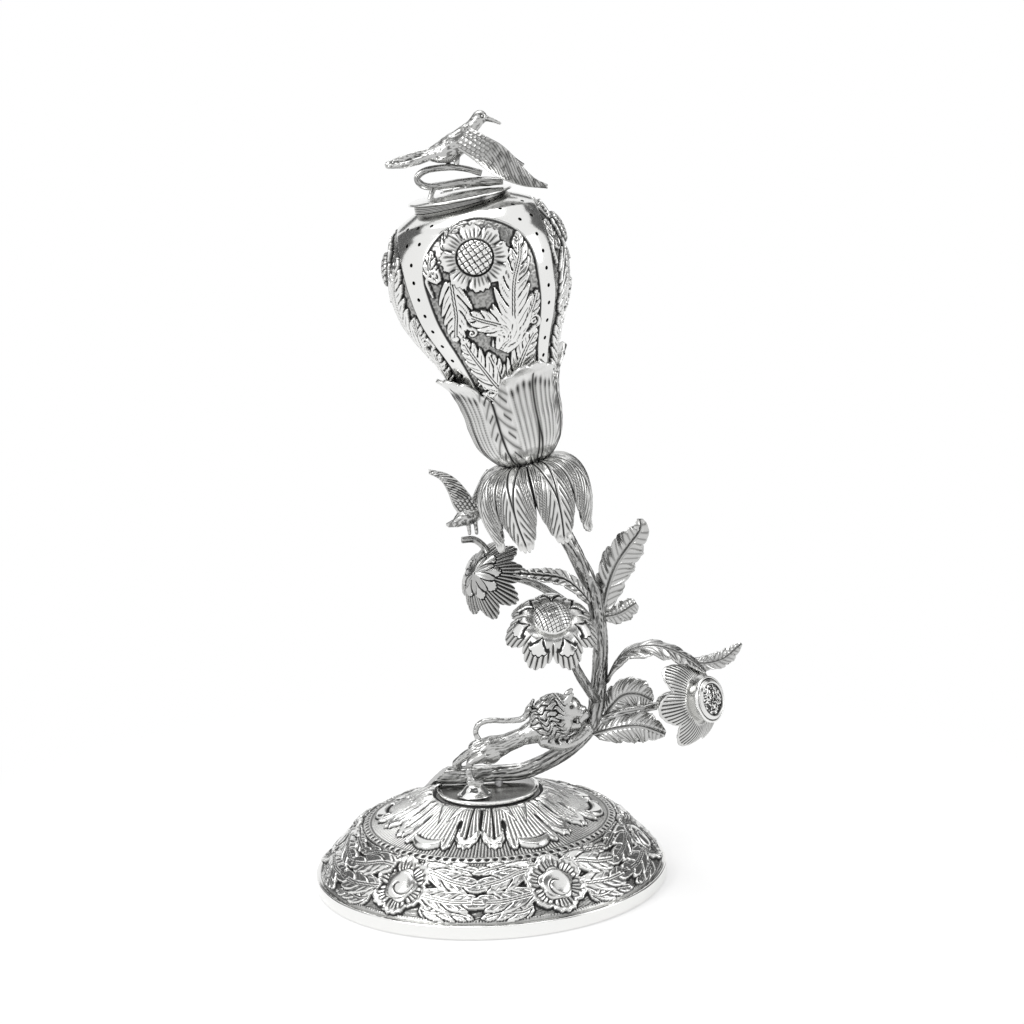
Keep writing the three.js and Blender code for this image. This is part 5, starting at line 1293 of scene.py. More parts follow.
PANEL_LEAVES = [
    # route as degrees from the panel's middle and height, half width, length of a lobe, rise over the ground
    ([(1.5, 44.5), (8, 47.5), (14.0, 52), (15.4, 58), (19, 66.9), (26.8, 75.4), (31.0, 82.5)], 7.2, 6.2, 1.5),
    ([(3, 45.6), (9.4, 47.6), (8.6, 51.6), (2, 54), (-6.6, 56.5), (-15.6, 59.8)], 6.0, 5.2, 1.6),
    ([(-18.6, 71.5), (-20, 66), (-21.8, 60), (-25.0, 56), (-30.5, 50.5)], 6.0, 5.4, 1.3),
    ([(-6, 29.5), (-11.6, 31.9), (-18, 38.0), (-22.6, 44.4), (-24.6, 51.8)], 4.8, 5.0, 1.5),
    ([(-4.6, 30.4), (-6.8, 36.7), (-9.6, 44.5)], 3.6, 4.2, 1.2),
    ([(5.8, 31.0), (15.5, 37.0), (25.0, 43.4), (33.5, 48.4)], 5.0, 5.0, 1.4),
    ([(-12, 12), (-14, 20), (-20, 26), (-30, 30)], 3.6, 4.2, 1.2),
    ([(8, 12), (12, 19), (20, 25), (30, 29)], 3.6, 4.2, 1.2),
    ([(-26.6, 72.5), (-31.0, 77), (-28.6, 83)], 3.2, 4.0, 1.2),
    ([(22.4, 51.6), (29, 55.5), (34.6, 61.5)], 3.4, 4.0, 1.2),
    ([(-20, 83), (-12, 88.5), (0, 89.5)], 2.4, 4.0, 0.9),
]
for route, half_width, lobe, rise in PANEL_LEAVES:
    height, where = chased_leaf(x, y, panel_route(route), half_width, lobe, rise, slant=1.2)
    where &= from_edge > 0.5
    panel_relief = np.where(where, np.maximum(panel_relief, height - GROUND_DEPTH), panel_relief)
    panel_soot = np.where(where, 0, panel_soot)

PANEL_SCROLLS = [
    # tail, then the middle, radius, starting angle and turns of the curl
    ([(-33.5, 68), (-35, 73)], (-28.6, 74.2), 2.7, 175, -1.3),
    ([(21, 49), (26, 47.4)], (31.0, 51.4), 2.8, 265, 1.3),
    ([(-30, 33), (-26.5, 33.6)], (-20.5, 29.6), 2.5, 130, -1.2),
    ([(-22, 52), (-20, 56.5)], (-16, 52.6), 1.8, 100, -1.1),
]
for tail, (curl_angle, curl_height), radius, start, turns in PANEL_SCROLLS:
    middle = panel_route([(curl_angle, curl_height)])[0]
    route = spiral(middle[0], middle[1], radius, start, turns, tail=panel_route(tail))
    height, where = chased_stem(x, y, route, 1.5, 1.3)
    where &= from_edge > 0.3
    panel_relief = np.where(where, np.maximum(panel_relief, height - GROUND_DEPTH), panel_relief)
    panel_soot = np.where(where, 0.02, panel_soot)

# the blossom: eight ruffled petals round a cushion of squares
BLOSSOM_RADIUS = 11.6
CUSHION_RADIUS = 6.2
SQUARE_PITCH = 1.8
blossom_at = panel_route([(-1.0, 78)])[0]
bx, by = x - blossom_at[0], y - blossom_at[1]
rho, phi = np.hypot(bx, by), np.arctan2(by, bx)
petal = np.abs(np.cos(4 * phi + 0.3))
rim = BLOSSOM_RADIUS * (0.88 + 0.12 * petal ** 0.5 + 0.03 * np.cos(24 * phi + 2 * np.sin(8 * phi)))
share = np.clip((rho - CUSHION_RADIUS) / (rim - CUSHION_RADIUS), 0, 1)
petal_height = 0.35 + 1.3 * share ** 1.2 * (0.65 + 0.35 * petal)
petal_height += 0.16 * np.cos(40 * phi) * np.sin(np.pi * share)
petal_height -= 0.7 * (1 - soft_step(petal, 0.0, 0.35)) * soft_step(share, 0.15, 0.6)
across_squares = np.abs(((bx * 0.94 + by * 0.34) / SQUARE_PITCH) % 1 - 0.5)
up_squares = np.abs(((by * 0.94 - bx * 0.34) / SQUARE_PITCH + 0.3) % 1 - 0.5)
square = soft_step(np.minimum(across_squares, up_squares), 0.02, 0.12)
cushion_height = 0.9 + 1.1 * np.sqrt(np.clip(1 - (rho / (CUSHION_RADIUS + 0.1)) ** 2, 0, 1))
cushion_height += 0.5 * (square - 1)
well = bell(rho - CUSHION_RADIUS, 0.35)
height = np.where(rho < CUSHION_RADIUS, cushion_height, petal_height) - 0.6 * well - GROUND_DEPTH
panel_relief = np.where(rho < rim, np.maximum(height, -0.7), panel_relief)
blossom_soot = np.where(rho < CUSHION_RADIUS - 0.3, 1 - square, 0) + 0.8 * well
blossom_soot += 0.35 * (rho > CUSHION_RADIUS) * (1 - share) ** 2 * (0.5 + 0.5 * np.cos(20 * phi))
panel_soot = np.where(rho < rim, np.clip(blossom_soot, 0, 1), panel_soot)

lowness = np.clip((0.8 - panel_relief) / 1.5, 0, 1)
panel_soot = np.maximum(panel_soot, inside * 0.36 * lowness)

fruit_relief = np.tile(panel_relief, 4)
fruit_soot = np.tile(np.clip(panel_soot, 0, 1), 4)
fruit_angle = np.radians(PANEL_TURN - 45) + (np.arange(FRUIT_COLUMNS) + 0.5) / FRUIT_COLUMNS * 2 * np.pi
fruit_angle = fruit_angle[None, :] + 0 * fruit_relief
fruit_along = fruit_gone[:, None] + 0 * fruit_relief

# the piercings: the faces over a hole are left out, and the points round it are moved onto its edge
in_hole = np.zeros(fruit_relief.shape, bool)
for band in range(4):
    for height, sideways in PIERCING_ROWS:
        along = np.interp(height, fruit_rows[:, 1], fruit_gone)
        radius = np.interp(height, fruit_rows[:, 1], fruit_rows[:, 0])
        for off in sideways:
            centre = np.radians(PANEL_TURN + 45 + 90 * band) + off / radius
            dx = ((fruit_angle - centre + np.pi) % (2 * np.pi) - np.pi) * radius
            dy = fruit_along - along
            gap = np.hypot(dx, dy)
            hole = gap < PIERCING_RADIUS
            beside = hole | np.roll(hole, 1, 0) | np.roll(hole, -1, 0)
            edge = (beside | np.roll(beside, 1, 1) | np.roll(beside, -1, 1)) & ~hole
            in_hole |= hole
            pull = PIERCING_RADIUS / np.maximum(gap, 1e-6)
            fruit_angle = np.where(edge, fruit_angle + (pull - 1) * dx / radius, fruit_angle)
            fruit_along = np.where(edge, along + pull * dy, fruit_along)

fruit_quads = grid_quads(len(fruit_rows), FRUIT_COLUMNS, True)
fruit_quads = fruit_quads[~in_hole.ravel()[fruit_quads].any(1)]
fruit_points, fruit_quads = thicken(
    raised_round(fruit_rows, fruit_angle, fruit_along, fruit_relief),
    raised_round(fruit_rows, fruit_angle, fruit_along, -SKIN), fruit_quads,
)
used = np.unique(fruit_quads)
renumber = np.full(len(fruit_points), -1)
renumber[used] = np.arange(len(used))
fruit_mesh = make_mesh("fruit_shell_skin", on_fruit(fruit_points[used]), renumber[fruit_quads])
fruit_mesh.set_sharp_from_angle(angle=np.radians(62))
tarnish(fruit_mesh, soot=np.concatenate([fruit_soot.ravel(), np.ones(fruit_soot.size)])[used])
fruit_silver = silver("fruit_silver", bright=0.82, roughness=0.13, scratches=0.06)
put(fruit_mesh, fruit_silver, "stand", ["fruit_shell"])

# The mouth ring and the lid.
# Both are turned from sheet and polished, and sit on the shell a little askew. The lid has a bezel that drops
# into the mouth, and swings on a hinge at the back, whose fixed knuckles stand on the ring.
MOUTH_RADIUS = 14
RING_RADIUS = 16.4
RING_TOP = 1.4  # over the middle of the mouth's foot, along the mouth's own axis
MOUTH_TILT = np.radians(3.5)
MOUTH_FOOT = FRUIT_TOP + 0.3
RING_GROOVES = 4
LID_RADIUS = 18.4
LID_BASE = RING_TOP + 0.3
LID_TOP = LID_BASE + 0.8
LID_CROWN = 1.4
HINGE_BACK = 20.6
HINGE_LEVEL = LID_BASE + 0.4
KNUCKLE_RADIUS = 1.8
KNUCKLE_HOLE = 1.0


def on_mouth(points):
    """Lays points made upright along the tilted mouth's axis."""
    return on_fruit(lean(points, MOUTH_TILT) + (0, 0, MOUTH_FOOT))


def knuckle(low, high, reach, foot_low, foot_high):
    """A hinge tube along its pin from low to high, with the tab that joins it to the piece in front of it."""
    outline = [(KNUCKLE_HOLE, low), (KNUCKLE_RADIUS, low), (KNUCKLE_RADIUS, high), (KNUCKLE_HOLE, high)]
    tube, tube_quads = turned(rounded(outline, 0.2), 40, closed=True)
    tube = tube[:, [2, 0, 1]] + (0, HINGE_BACK, HINGE_LEVEL)
    along, away, up_by = (low, high), (reach, HINGE_BACK - 1.3), (foot_low, foot_high)
    corners = np.array([(a, b, c) for a in along for b in away for c in up_by])
    sides = np.array([(0, 1, 3, 2), (4, 6, 7, 5), (0, 4, 5, 1), (2, 3, 7, 6), (0, 2, 6, 4), (1, 5, 7, 3)])
    return [(tube, [tube_quads]), (corners, [sides])]


ring_outline = [(MOUTH_RADIUS, 0), (RING_RADIUS, 0)]
for k in range(RING_GROOVES):
    line = (k + 0.6) / RING_GROOVES
    ring_outline += [(RING_RADIUS, line - 0.07), (RING_RADIUS - 0.22, line), (RING_RADIUS, line + 0.07)]
ring_outline += [(RING_RADIUS, 1), (MOUTH_RADIUS, 1)]
ring_band, band_quads = turned(ring_outline, 240, closed=True)
ring_foot = ring_band[:, 0] * np.tan(MOUTH_TILT)  # filed to the shell
ring_band[:, 2] = ring_foot + (RING_TOP - ring_foot) * ring_band[:, 2]
ring_parts = [(ring_band, [band_quads])]
for low, high in ((-6, -2.3), (2.3, 6)):
    ring_parts += knuckle(low, high, MOUTH_RADIUS + 0.6, 0.4, RING_TOP)
ring_points, ring_faces = together(ring_parts)
ring_mesh = make_mesh("mouth_ring_band", on_mouth(ring_points), ring_faces)
ring_mesh.set_sharp_from_angle(angle=np.radians(35))
tarnish(ring_mesh, depth=0.3, soot=0.30)
put(ring_mesh, polished_silver, "stand", ["mouth_ring"])

lid_band, lid_quads = turned(rounded([
    (0.05, LID_BASE), (12.3, LID_BASE), (12.3, LID_BASE - 4.2), (13.3, LID_BASE - 4.2), (13.3, LID_BASE),
    (LID_RADIUS - 0.3, LID_BASE), (LID_RADIUS, LID_BASE + 0.35), (LID_RADIUS - 0.3, LID_TOP),
    (14.3, LID_TOP + 0.3), (9, LID_TOP + 0.9), (4, LID_TOP + 1.3), (0.05, LID_TOP + LID_CROWN),
], 0.3, closed=False), 240)
lid_knuckle = knuckle(-2, 2, LID_RADIUS - 1.5, LID_BASE, LID_TOP)
lid_points, lid_faces = together([(lid_band, [lid_quads]), *lid_knuckle])
lid_mesh = make_mesh("lid_disc", on_mouth(lid_points), lid_faces)
lid_mesh.set_sharp_from_angle(angle=np.radians(50))
tarnish(lid_mesh, depth=0.8, soot=0.36 * (lid_points[:, 2] < LID_BASE + 0.3))
put(lid_mesh, polished_silver, "lid", ["lid"])

# The knob's twig.
# A bent twig with bark, soldered to the lid by a short prong. Both its ends are sawn off.
LID_MIDDLE = lean((0, 0, LID_TOP + LID_CROWN), MOUTH_TILT) + (0, 0, MOUTH_FOOT)


def on_lid(points):
    """Lays points made about the top of the lid's middle, which stand along the fruit's axis."""
    return on_fruit(np.asarray(points, float) + LID_MIDDLE)


LID_TWIG_ROUTE = [
    (9, 0, 4), (4.3, 0, 6.6), (-0.6, 0, 8.4), (-6, 0, 9.4), (-10.6, 0, 9.3), (-13, 0, 7.4), (-11.6, 0, 4.8),
    (-8.3, 0, 3.5), (-2.5, 0, 2.8), (3.2, 0, 2.1), (9, 0, 1), (15.6, 0, -0.4),
]
LID_TWIG_RADII = [1.1, 1.1, 1.2, 1.2, 1.2, 1.2, 1.3, 1.4, 1.5, 1.7, 1.7, 1.3]
twig_limbs = []
for route, radii, ends, seed in (
    (LID_TWIG_ROUTE, LID_TWIG_RADII, ("pith", "flat"), 51.0),
    ([(-8, 0, 3.4), (-9, -1, 2), (-10.8, -2, -1)], [1.1, 0.9, 0.9], ("flat", "round"), 57.0),
):
    grid, soot = limb(route, radii, sides=30, bark=0.24, grooves=3, seed=seed, step=0.3)
    twig_limbs.append((grid, soot, ends))
add_limbs("knob_twig_limb", twig_limbs, ["knob_twig"], body="lid", lay=on_lid, depth=0.2)

# The lion.
# Cast in one piece by lost wax, then chased: wavy locks of mane, short strokes of fur, a mouth with fangs.
# Its forepaws hold the rising branch, one hind foot stands on the branch and the other on a polished mound.


def swept(route, radii, flat=1.0):
    """A round-ended body along a route, with radii at even steps along it."""
    rows = max(8, int(gone_along(np.asarray(route, float))[-1] / 0.6))
    path = smooth_route(route, rows)
    radius = np.interp(np.linspace(0, 1, rows), np.linspace(0, 1, len(radii)), radii)[:, None, None]
    _, aside, beyond = carried_frames(path)
    angle = np.linspace(0, 2 * np.pi, 18, endpoint=False)[:, None]
    grid = path[:, None] + radius * (aside[:, None] * np.cos(angle) + flat * beyond[:, None] * np.sin(angle))
    points, faces, _ = capped(grid, np.zeros(grid.shape[:2]), "round", "round")
    return points, faces


def blob(centre, radii, turn=0.0, rows=20, sides=28):
    """An egg: its middle, its three half lengths, and a turn about the axis that runs from front to back."""
    tall = np.linspace(-np.pi / 2 + 0.02, np.pi / 2 - 0.02, rows)[:, None]
    angle = np.linspace(0, 2 * np.pi, sides, endpoint=False)[None, :]
    egg = np.stack([np.cos(tall) * np.cos(angle), np.cos(tall) * np.sin(angle), np.sin(tall) + 0 * angle], -1)
    egg = lean(egg.reshape(-1, 3) * np.asarray(radii, float), np.radians(turn)) + np.asarray(centre, float)
    ends = [np.arange(sides)[None, ::-1], ((rows - 1) * sides + np.arange(sides))[None]]
    return egg, [grid_quads(rows, sides, True), *ends]


def one_skin(parts, cell, rounds):
    """One closed skin of small squares round overlapping bodies, in millimetres, and its outward ways."""
    rough = make_mesh("rough", *together(parts))
    holder = bpy.data.objects.new("rough", rough)
    bpy.context.scene.collection.objects.link(holder)
    remesh = holder.modifiers.new("skin", "REMESH")
    remesh.mode = "VOXEL"
    remesh.voxel_size = cell / 1000
    bpy.context.view_layer.update()
    made = bpy.data.meshes.new_from_object(holder.evaluated_get(bpy.context.evaluated_depsgraph_get()))
    bpy.data.objects.remove(holder)
    bpy.data.meshes.remove(rough)
    skin = (read_all(made.vertices, "co", 3) - foot_middle) * 1000
    quads = read_all(made.loops, "vertex_index", 1, np.int64).reshape(-1, 4)
    pairs = read_all(made.edges, "vertices", 2, np.int64).T
    bpy.data.meshes.remove(made)
    skin = smoothed(skin, pairs, rounds)
    a, b, c, d = (skin[quads[:, k]] for k in range(4))
    square = np.cross(c - a, d - b)
    outward = np.stack([
        sum(np.bincount(quads[:, k], square[:, axis], len(skin)) for k in range(4)) for axis in range(3)
    ], -1)
    return skin, quads, unit(outward)


def near_segment(points, start, end):
    """How far points lie from a straight line between two places."""
    start, end = np.asarray(start, float), np.asarray(end, float)
    way = end - start
    t = np.clip((points - start) @ way / (way @ way), 0, 1)
    return np.linalg.norm(points - start - t[:, None] * way, axis=1)


LION_BODY = [
    swept([(-3.8, -4, 15), (1.5, -4, 15.4), (7, -4, 17), (13, -4, 19.3), (18.6, -4, 21.4), (24, -4, 23.6)],
          [3.6, 4.7, 3.5, 3.3, 4.8, 6.2]),
    swept([(21, -6, 18), (27, -5.8, 16), (33, -3.4, 17.4), (37.2, -0.2, 20.2)], [2.6, 2.2, 1.9, 2.3]),
    swept([(24, -1, 20), (31, 0, 20.4), (36.4, 1.2, 25.4)], [2.4, 1.9, 2.1]),
    blob((1.0, -6.2, 14.6), (4.6, 2.8, 4.6), 15),
    swept([(-1.5, -7, 13.8), (-5.6, -8.3, 12.2), (-6.6, -9.1, 9.4), (-6.1, -9.6, 6.6), (-5.4, -9.8, 5.2)],
          [2.9, 2.0, 1.25, 1.2, 1.5]),
    swept([(-6.4, -9.8, 5.0), (-3.0, -10.2, 4.6)], [1.5, 1.25]),
    swept([(-2.5, -1, 13.8), (-7.5, 0.4, 11.8), (-10.9, 1.6, 8.8), (-10.6, 2.6, 7.2)], [2.8, 2, 1.5, 1.7]),
    swept([(-2, -3.6, 17.4), (-3.5, -3.2, 21.4), (-2.2, -3, 24.4), (1.4, -3, 25.6), (7.7, -3, 25.3),
           (13.1, -3.2, 25.6), (15.6, -3.4, 27.8)], [1.1, 1, 1, 1, 1, 1.1, 1.2]),
]
# the tail's tuft, as three pointed locks
for side in (-0.7, 0, 0.7):
    tuft = [(14.6, -3.4, 26.4), (16.0, -3.4 + side, 29.2), (17.6 + 0.3 * side, -3.4 + 1.4 * side, 32.4)]
    LION_BODY += [swept(tuft, [1.0, 1.3, 0.3])]
LION_HEAD = [
    blob((29.4, -3.6, 29.0), (5.6, 4.3, 5.0), -15),
    blob((33.4, -3.6, 28.2), (3.3, 2.5, 2.3), 5),
    blob((35.6, -3.6, 28.6), (1.3, 1.5, 1.1)),
    blob((33.6, -5.0, 27.3), (2.2, 1.4, 1.5)),
    blob((33.6, -2.2, 27.3), (2.2, 1.4, 1.5)),
    swept([(28.4, -3.6, 23.6), (31.2, -3.6, 22.6), (33.8, -3.6, 22.6)], [2.4, 1.9, 1.3]),
    swept([(30.6, -6.9, 31.6), (32.6, -5.4, 31.4)], [0.9, 0.7]),
    swept([(30.6, -0.3, 31.6), (32.6, -1.8, 31.4)], [0.9, 0.7]),
]
for y in (-6.6, -0.6):
    LION_HEAD += [swept([(29.8, y, 32.4), (30.9, y, 34.2), (31.8, y, 35.2)], [1.5, 1.3, 0.7], flat=0.7)]
# toes of the forepaws and of the hind foot
LION_TOES = []
for k in range(3):
    LION_TOES += [swept([(36.8 + 0.2 * k, -1.6 + k, 21.4 - 0.5 * k), (38.6, -1.9 + k, 19.6)], [0.8, 0.7])]
for k in range(3):
    LION_TOES += [swept([(-4.4, -10.6 + 0.9 * k, 5.0), (-1.9, -11.0 + 0.9 * k, 4.6)], [0.75, 0.6])]

MANE_AT = np.array([24.2, -3.8, 25.4])
MANE_RADII = np.array([7.6, 5.4, 9.2])
MANE_TURN = np.radians(25)
MANE_SPARE = 0.3
TUFTS_FROM = 0.95  # radians back from the face
TUFT_LENGTH = 0.48
TUFT_RINGS = 5
TUFT_COUNT = 17
TUFT_HALF = 1.3  # half the width of a tuft
TUFT_REACH = 3.2  # half its length
FACE_WAY = unit(np.array([0.93, 0, 0.12]))
FACE_SIDE = np.array([0, -1, 0])
BODY_WAY = (0.93, 0.36)  # right and up, along the lion's back
EYE_AT = (31.2, 30.4)
EYE_RADIUS = 0.65
MOUTH_FROM, MOUTH_TO = (29.8, -3.6, 25.0), (34.2, -3.6, 25.0)
NOSE_FROM, NOSE_TO = (36.6, -4.4, 27.6), (36.6, -2.8, 27.6)
mane = blob(MANE_AT, MANE_RADII + MANE_SPARE, np.degrees(MANE_TURN))

lion_bodies = [(on_plate(p), f) for p, f in [*LION_BODY, *LION_HEAD, *LION_TOES, mane]]
lion_points, lion_quads, lion_outward = one_skin(lion_bodies, cell=0.25, rounds=2)
flat = lion_points - (0, 0, DECK)
lengthwise = flat[:, 0] * BODY_WAY[0] + flat[:, 2] * BODY_WAY[1]
upwards = flat[:, 2] * BODY_WAY[0] - flat[:, 0] * BODY_WAY[1]
wander = 3 * speckle(flat[:, 0] / 4 + 9, flat[:, 2] / 4 + flat[:, 1] / 3)
strokes = speckle(lengthwise / 1.7 + wander + 20, (upwards + 0.8 * flat[:, 1]) / 0.42 + wander)
in_mane = soft_step(flat[:, 0], 15.5, 17.5)
in_face = soft_step(flat[:, 0], 28.5, 30) * soft_step(flat[:, 2], 21, 23)
fur = (strokes - 0.5) * (1 - 0.7 * in_mane) * (1 - 0.6 * in_face)
# the mane's tufts run back from the face; each is nearest to a middle of its own, set a little unevenly
from_mane = flat - MANE_AT
polar = np.arccos(np.clip(unit(from_mane) @ FACE_WAY, -1, 1))
azimuth = np.arctan2(from_mane @ np.cross(FACE_WAY, FACE_SIDE), from_mane @ FACE_SIDE)
azimuth = azimuth + 0.16 * np.sin(5.5 * polar) + 0.10 * np.sin(9 * polar + 3 * azimuth)
nearest = np.full((2, len(flat)), 9.0)
beside, ahead = np.zeros(len(flat)), np.zeros(len(flat))
uneven = np.random.default_rng(15)
for ring in range(TUFT_RINGS):
    for number in range(TUFT_COUNT):
        at_polar = TUFTS_FROM + TUFT_LENGTH * (ring + 0.45 * uneven.random())
        at_azimuth = 2 * np.pi * (number + 0.5 * (ring % 2) + 0.35 * uneven.random()) / TUFT_COUNT
        turned_by = np.mod(azimuth - at_azimuth + np.pi, 2 * np.pi) - np.pi
        across = turned_by * np.sin(np.clip(polar, 0.4, 2.6)) * MANE_RADII[2]
        along = (polar - at_polar) * MANE_RADII[2]
        away = np.hypot(across / TUFT_HALF, along / TUFT_REACH)
        closer = away < nearest[0]
        beside, ahead = np.where(closer, across, beside), np.where(closer, along, ahead)
        nearest[1] = np.where(closer, nearest[0], np.minimum(nearest[1], away))
        nearest[0] = np.minimum(nearest[0], away)
from_groove = nearest[1] - nearest[0]
hairs = np.cos(2 * np.pi * beside / 0.75 + 0.5 * ahead)
tuft_height = soft_step(from_groove, 0, 0.5) + 0.22 * ahead / TUFT_REACH + 0.10 * hairs
from_middle = np.linalg.norm(lean(from_mane, MANE_TURN) / (MANE_RADII + MANE_SPARE), axis=1)
of_mane = soft_step(polar, TUFTS_FROM - 0.2, TUFTS_FROM) * (1 - soft_step(from_middle, 1.10, 1.25)) * in_mane
rise = 0.20 * fur + 0.95 * (tuft_height - 0.7) * of_mane
lion_points = lion_points + lion_outward * rise[:, None]
lion_soot = 0.34 * soft_step(0.52 - strokes, 0, 0.3) * (1 - 0.7 * in_mane)
lion_soot = lion_soot + (0.7 * bell(from_groove, 0.16) + 0.10 * (1 - hairs)) * of_mane
lion_soot = lion_soot + soft_step(1.9 - near_segment(flat, MOUTH_FROM, MOUTH_TO), 0, 0.5)
for y in (-7.0, -0.2):
    from_eye = np.linalg.norm(flat - (EYE_AT[0], y, EYE_AT[1]), axis=1)
    lion_soot = lion_soot + 0.7 * bell(from_eye - EYE_RADIUS, 0.25)
lion_soot = lion_soot + 0.9 * soft_step(0.8 - near_segment(flat, NOSE_FROM, NOSE_TO), 0, 0.3)

# the four fangs, each from its root up (1) or down (-1), and the two eyes
FANGS = [(34.2, -4.8, 26.4, -1), (34.2, -2.4, 26.4, -1), (33.4, -4.6, 23.6, 1), (33.4, -2.6, 23.6, 1)]
lion_parts = [(lion_points, [lion_quads])]
fang, fang_quads = turned([(0.55, 0), (0.40, 0.8), (0.18, 1.5), (0.02, 1.8)], 14)
for x, y, base, way in FANGS:
    lion_parts.append((on_plate(fang * (1, 1, way) + (x, y, base)), [fang_quads[:, ::way]]))
for y in (-6.9, -0.3):
    eye, eye_faces = blob((EYE_AT[0], y, EYE_AT[1]), (0.55, 0.4, 0.4), -20, rows=12, sides=16)
    lion_parts.append((on_plate(eye), eye_faces[:1]))
whole_points, whole_faces = together(lion_parts)
lion_mesh = make_mesh("lion_casting", whole_points, whole_faces)
whole_soot = np.zeros(len(whole_points))
whole_soot[:len(lion_soot)] = np.clip(lion_soot, 0, 1)
tarnish(lion_mesh, depth=0.20, soot=whole_soot)
cast_silver = silver("cast_silver", bright=0.54, roughness=0.22, scratches=0.18)
put(lion_mesh, cast_silver, "stand", ["lion"])

MOUND_AT = (-4.9, -9.6, 0)
mound_outline = smooth_route([
    (0.05, 4.5), (1.6, 4.4), (2.9, 3.7), (4.2, 2.2), (5.3, 1.3), (6.0, 0.9), (6.0, 0.35), (0.05, 0.35),
], 60)
add_turned("lion_mound_boss", mound_outline, ["lion_mound"], 96, 0.8, polished_silver, closed=False,
           inside_out=True, lay=lambda points: on_plate(points + MOUND_AT))

# The small bird and its perch.
# A little cast bird with raised wings, pinned to a sawn twig that is soldered behind the first flower.
PERCH_ROUTE = [(4.6, 9.6, 79.4), (3.4, 13, 85), (-0.5, 14.4, 88.6), (-5.2, 13.6, 89)]
grid, soot = limb(PERCH_ROUTE, [1.3, 1.25], sides=28, bark=0.24, grooves=3, seed=71.0)
add_limbs("small_bird_perch_limb", [(grid, soot, ("flat", "pith"))], ["small_bird_perch"])

WING_METAL = 0.8
WING_BAND = 0.10  # of a wing's width, plain along its back edge
FEATHER_PITCH = 1.0
FEATHER_SLANT = 0.42
SCALE_LENGTH, SCALE_WIDTH = 1.7, 1.3
DOWN_LENGTH, DOWN_WIDTH = 0.88, 0.44


def feathered_wing(front_edge, back_edge, bow):
    """A wing between its two edges: small scales at the shoulder, then long feathers, and a plain band."""
    rows, columns = 110, 46
    front, back = smooth_route(front_edge, rows)[:, None], smooth_route(back_edge, rows)[:, None]
    u = np.linspace(0, 1, rows)[:, None]
    v = np.linspace(0, 1, columns)[None, :]
    middle = front * (1 - v[..., None]) + back * v[..., None]
    middle[..., 1] += bow * np.sin(np.pi * v) * (1 - 0.7 * u)
    chord = np.linalg.norm(front - back, axis=2) * v
    span = gone_along(front[:, 0])[-1] * u
    slanting = (chord - FEATHER_SLANT * span) / FEATHER_PITCH + 0.35 * speckle(span / 2 + 5, v * 6)
    barb = wave(slanting) ** 0.6
    broken = speckle(span / 1.6 + 30, np.floor(slanting) * 3.7 + 0 * span)
    scales = wave(span / SCALE_LENGTH + 0.5 * np.floor(chord / SCALE_WIDTH)) * wave(chord / SCALE_WIDTH)
    shoulder = 1 - soft_step(u, 0.22, 0.42) + 0 * v
    plain = soft_step(v, 1 - WING_BAND, 1 - 0.7 * WING_BAND) + 0 * u
    plain = np.maximum(plain, 1 - soft_step(v, 0.0, 0.05))
    relief = (0.34 * (barb - 0.7) - 0.16 * (broken < 0.35)) * (1 - shoulder)
    relief = relief + 0.34 * (scales - 0.5) * shoulder
    soot = (0.75 * (1 - barb) + 0.25 * (broken < 0.4)) * (1 - shoulder) + 0.5 * (1 - scales) ** 2 * shoulder
    points, quads = sheet_body(middle, relief * (1 - plain) + 0.12 * plain, WING_METAL, turned_over=True)
    return points, quads, np.tile((soot * (1 - plain)).ravel(), 2)


def cast_bird(name, parts, wings, lay, eyes, node, body, metal):
    """A bird with one skin over its body, wings of sheet, and ringed eyes."""
    skin, quads, outward = one_skin([(lay(p), f) for p, f in parts], cell=0.26, rounds=3)
    own = (skin - lay(np.zeros((1, 3)))) @ np.linalg.inv(lay(np.eye(3)) - lay(np.zeros((3, 3))))
    uneven = 2.5 * speckle(own[:, 0] / 3 + 4, own[:, 2] / 3 + own[:, 1] / 2)
    down = speckle(own[:, 0] / DOWN_LENGTH + 11 + uneven, (own[:, 2] + 0.7 * own[:, 1]) / DOWN_WIDTH + uneven)
    skin = skin + outward * (0.14 * (down - 0.5))[:, None]
    soot = 0.42 * soft_step(0.55 - down, 0, 0.3)
    for eye in eyes:
        soot = soot + 0.9 * bell(np.linalg.norm(own - eye, axis=1) - 0.62, 0.16)
    pieces, dirt = [(skin, [quads])], [np.clip(soot, 0, 1)]
    for edges_and_bow in wings:
        points, wing_quads, wing_soot = feathered_wing(*edges_and_bow)
        pieces.append((lay(points), [wing_quads]))
        dirt.append(wing_soot)
    for eye in eyes:
        ball, ball_faces = blob(eye, (0.45, 0.45, 0.45), rows=10, sides=14)
        pieces.append((lay(ball), ball_faces[:1]))
        dirt.append(np.zeros(len(ball)))
    mesh = make_mesh(name, *together(pieces))
    tarnish(mesh, depth=0.16, soot=np.concatenate(dirt))
    put(mesh, metal, body, [node])


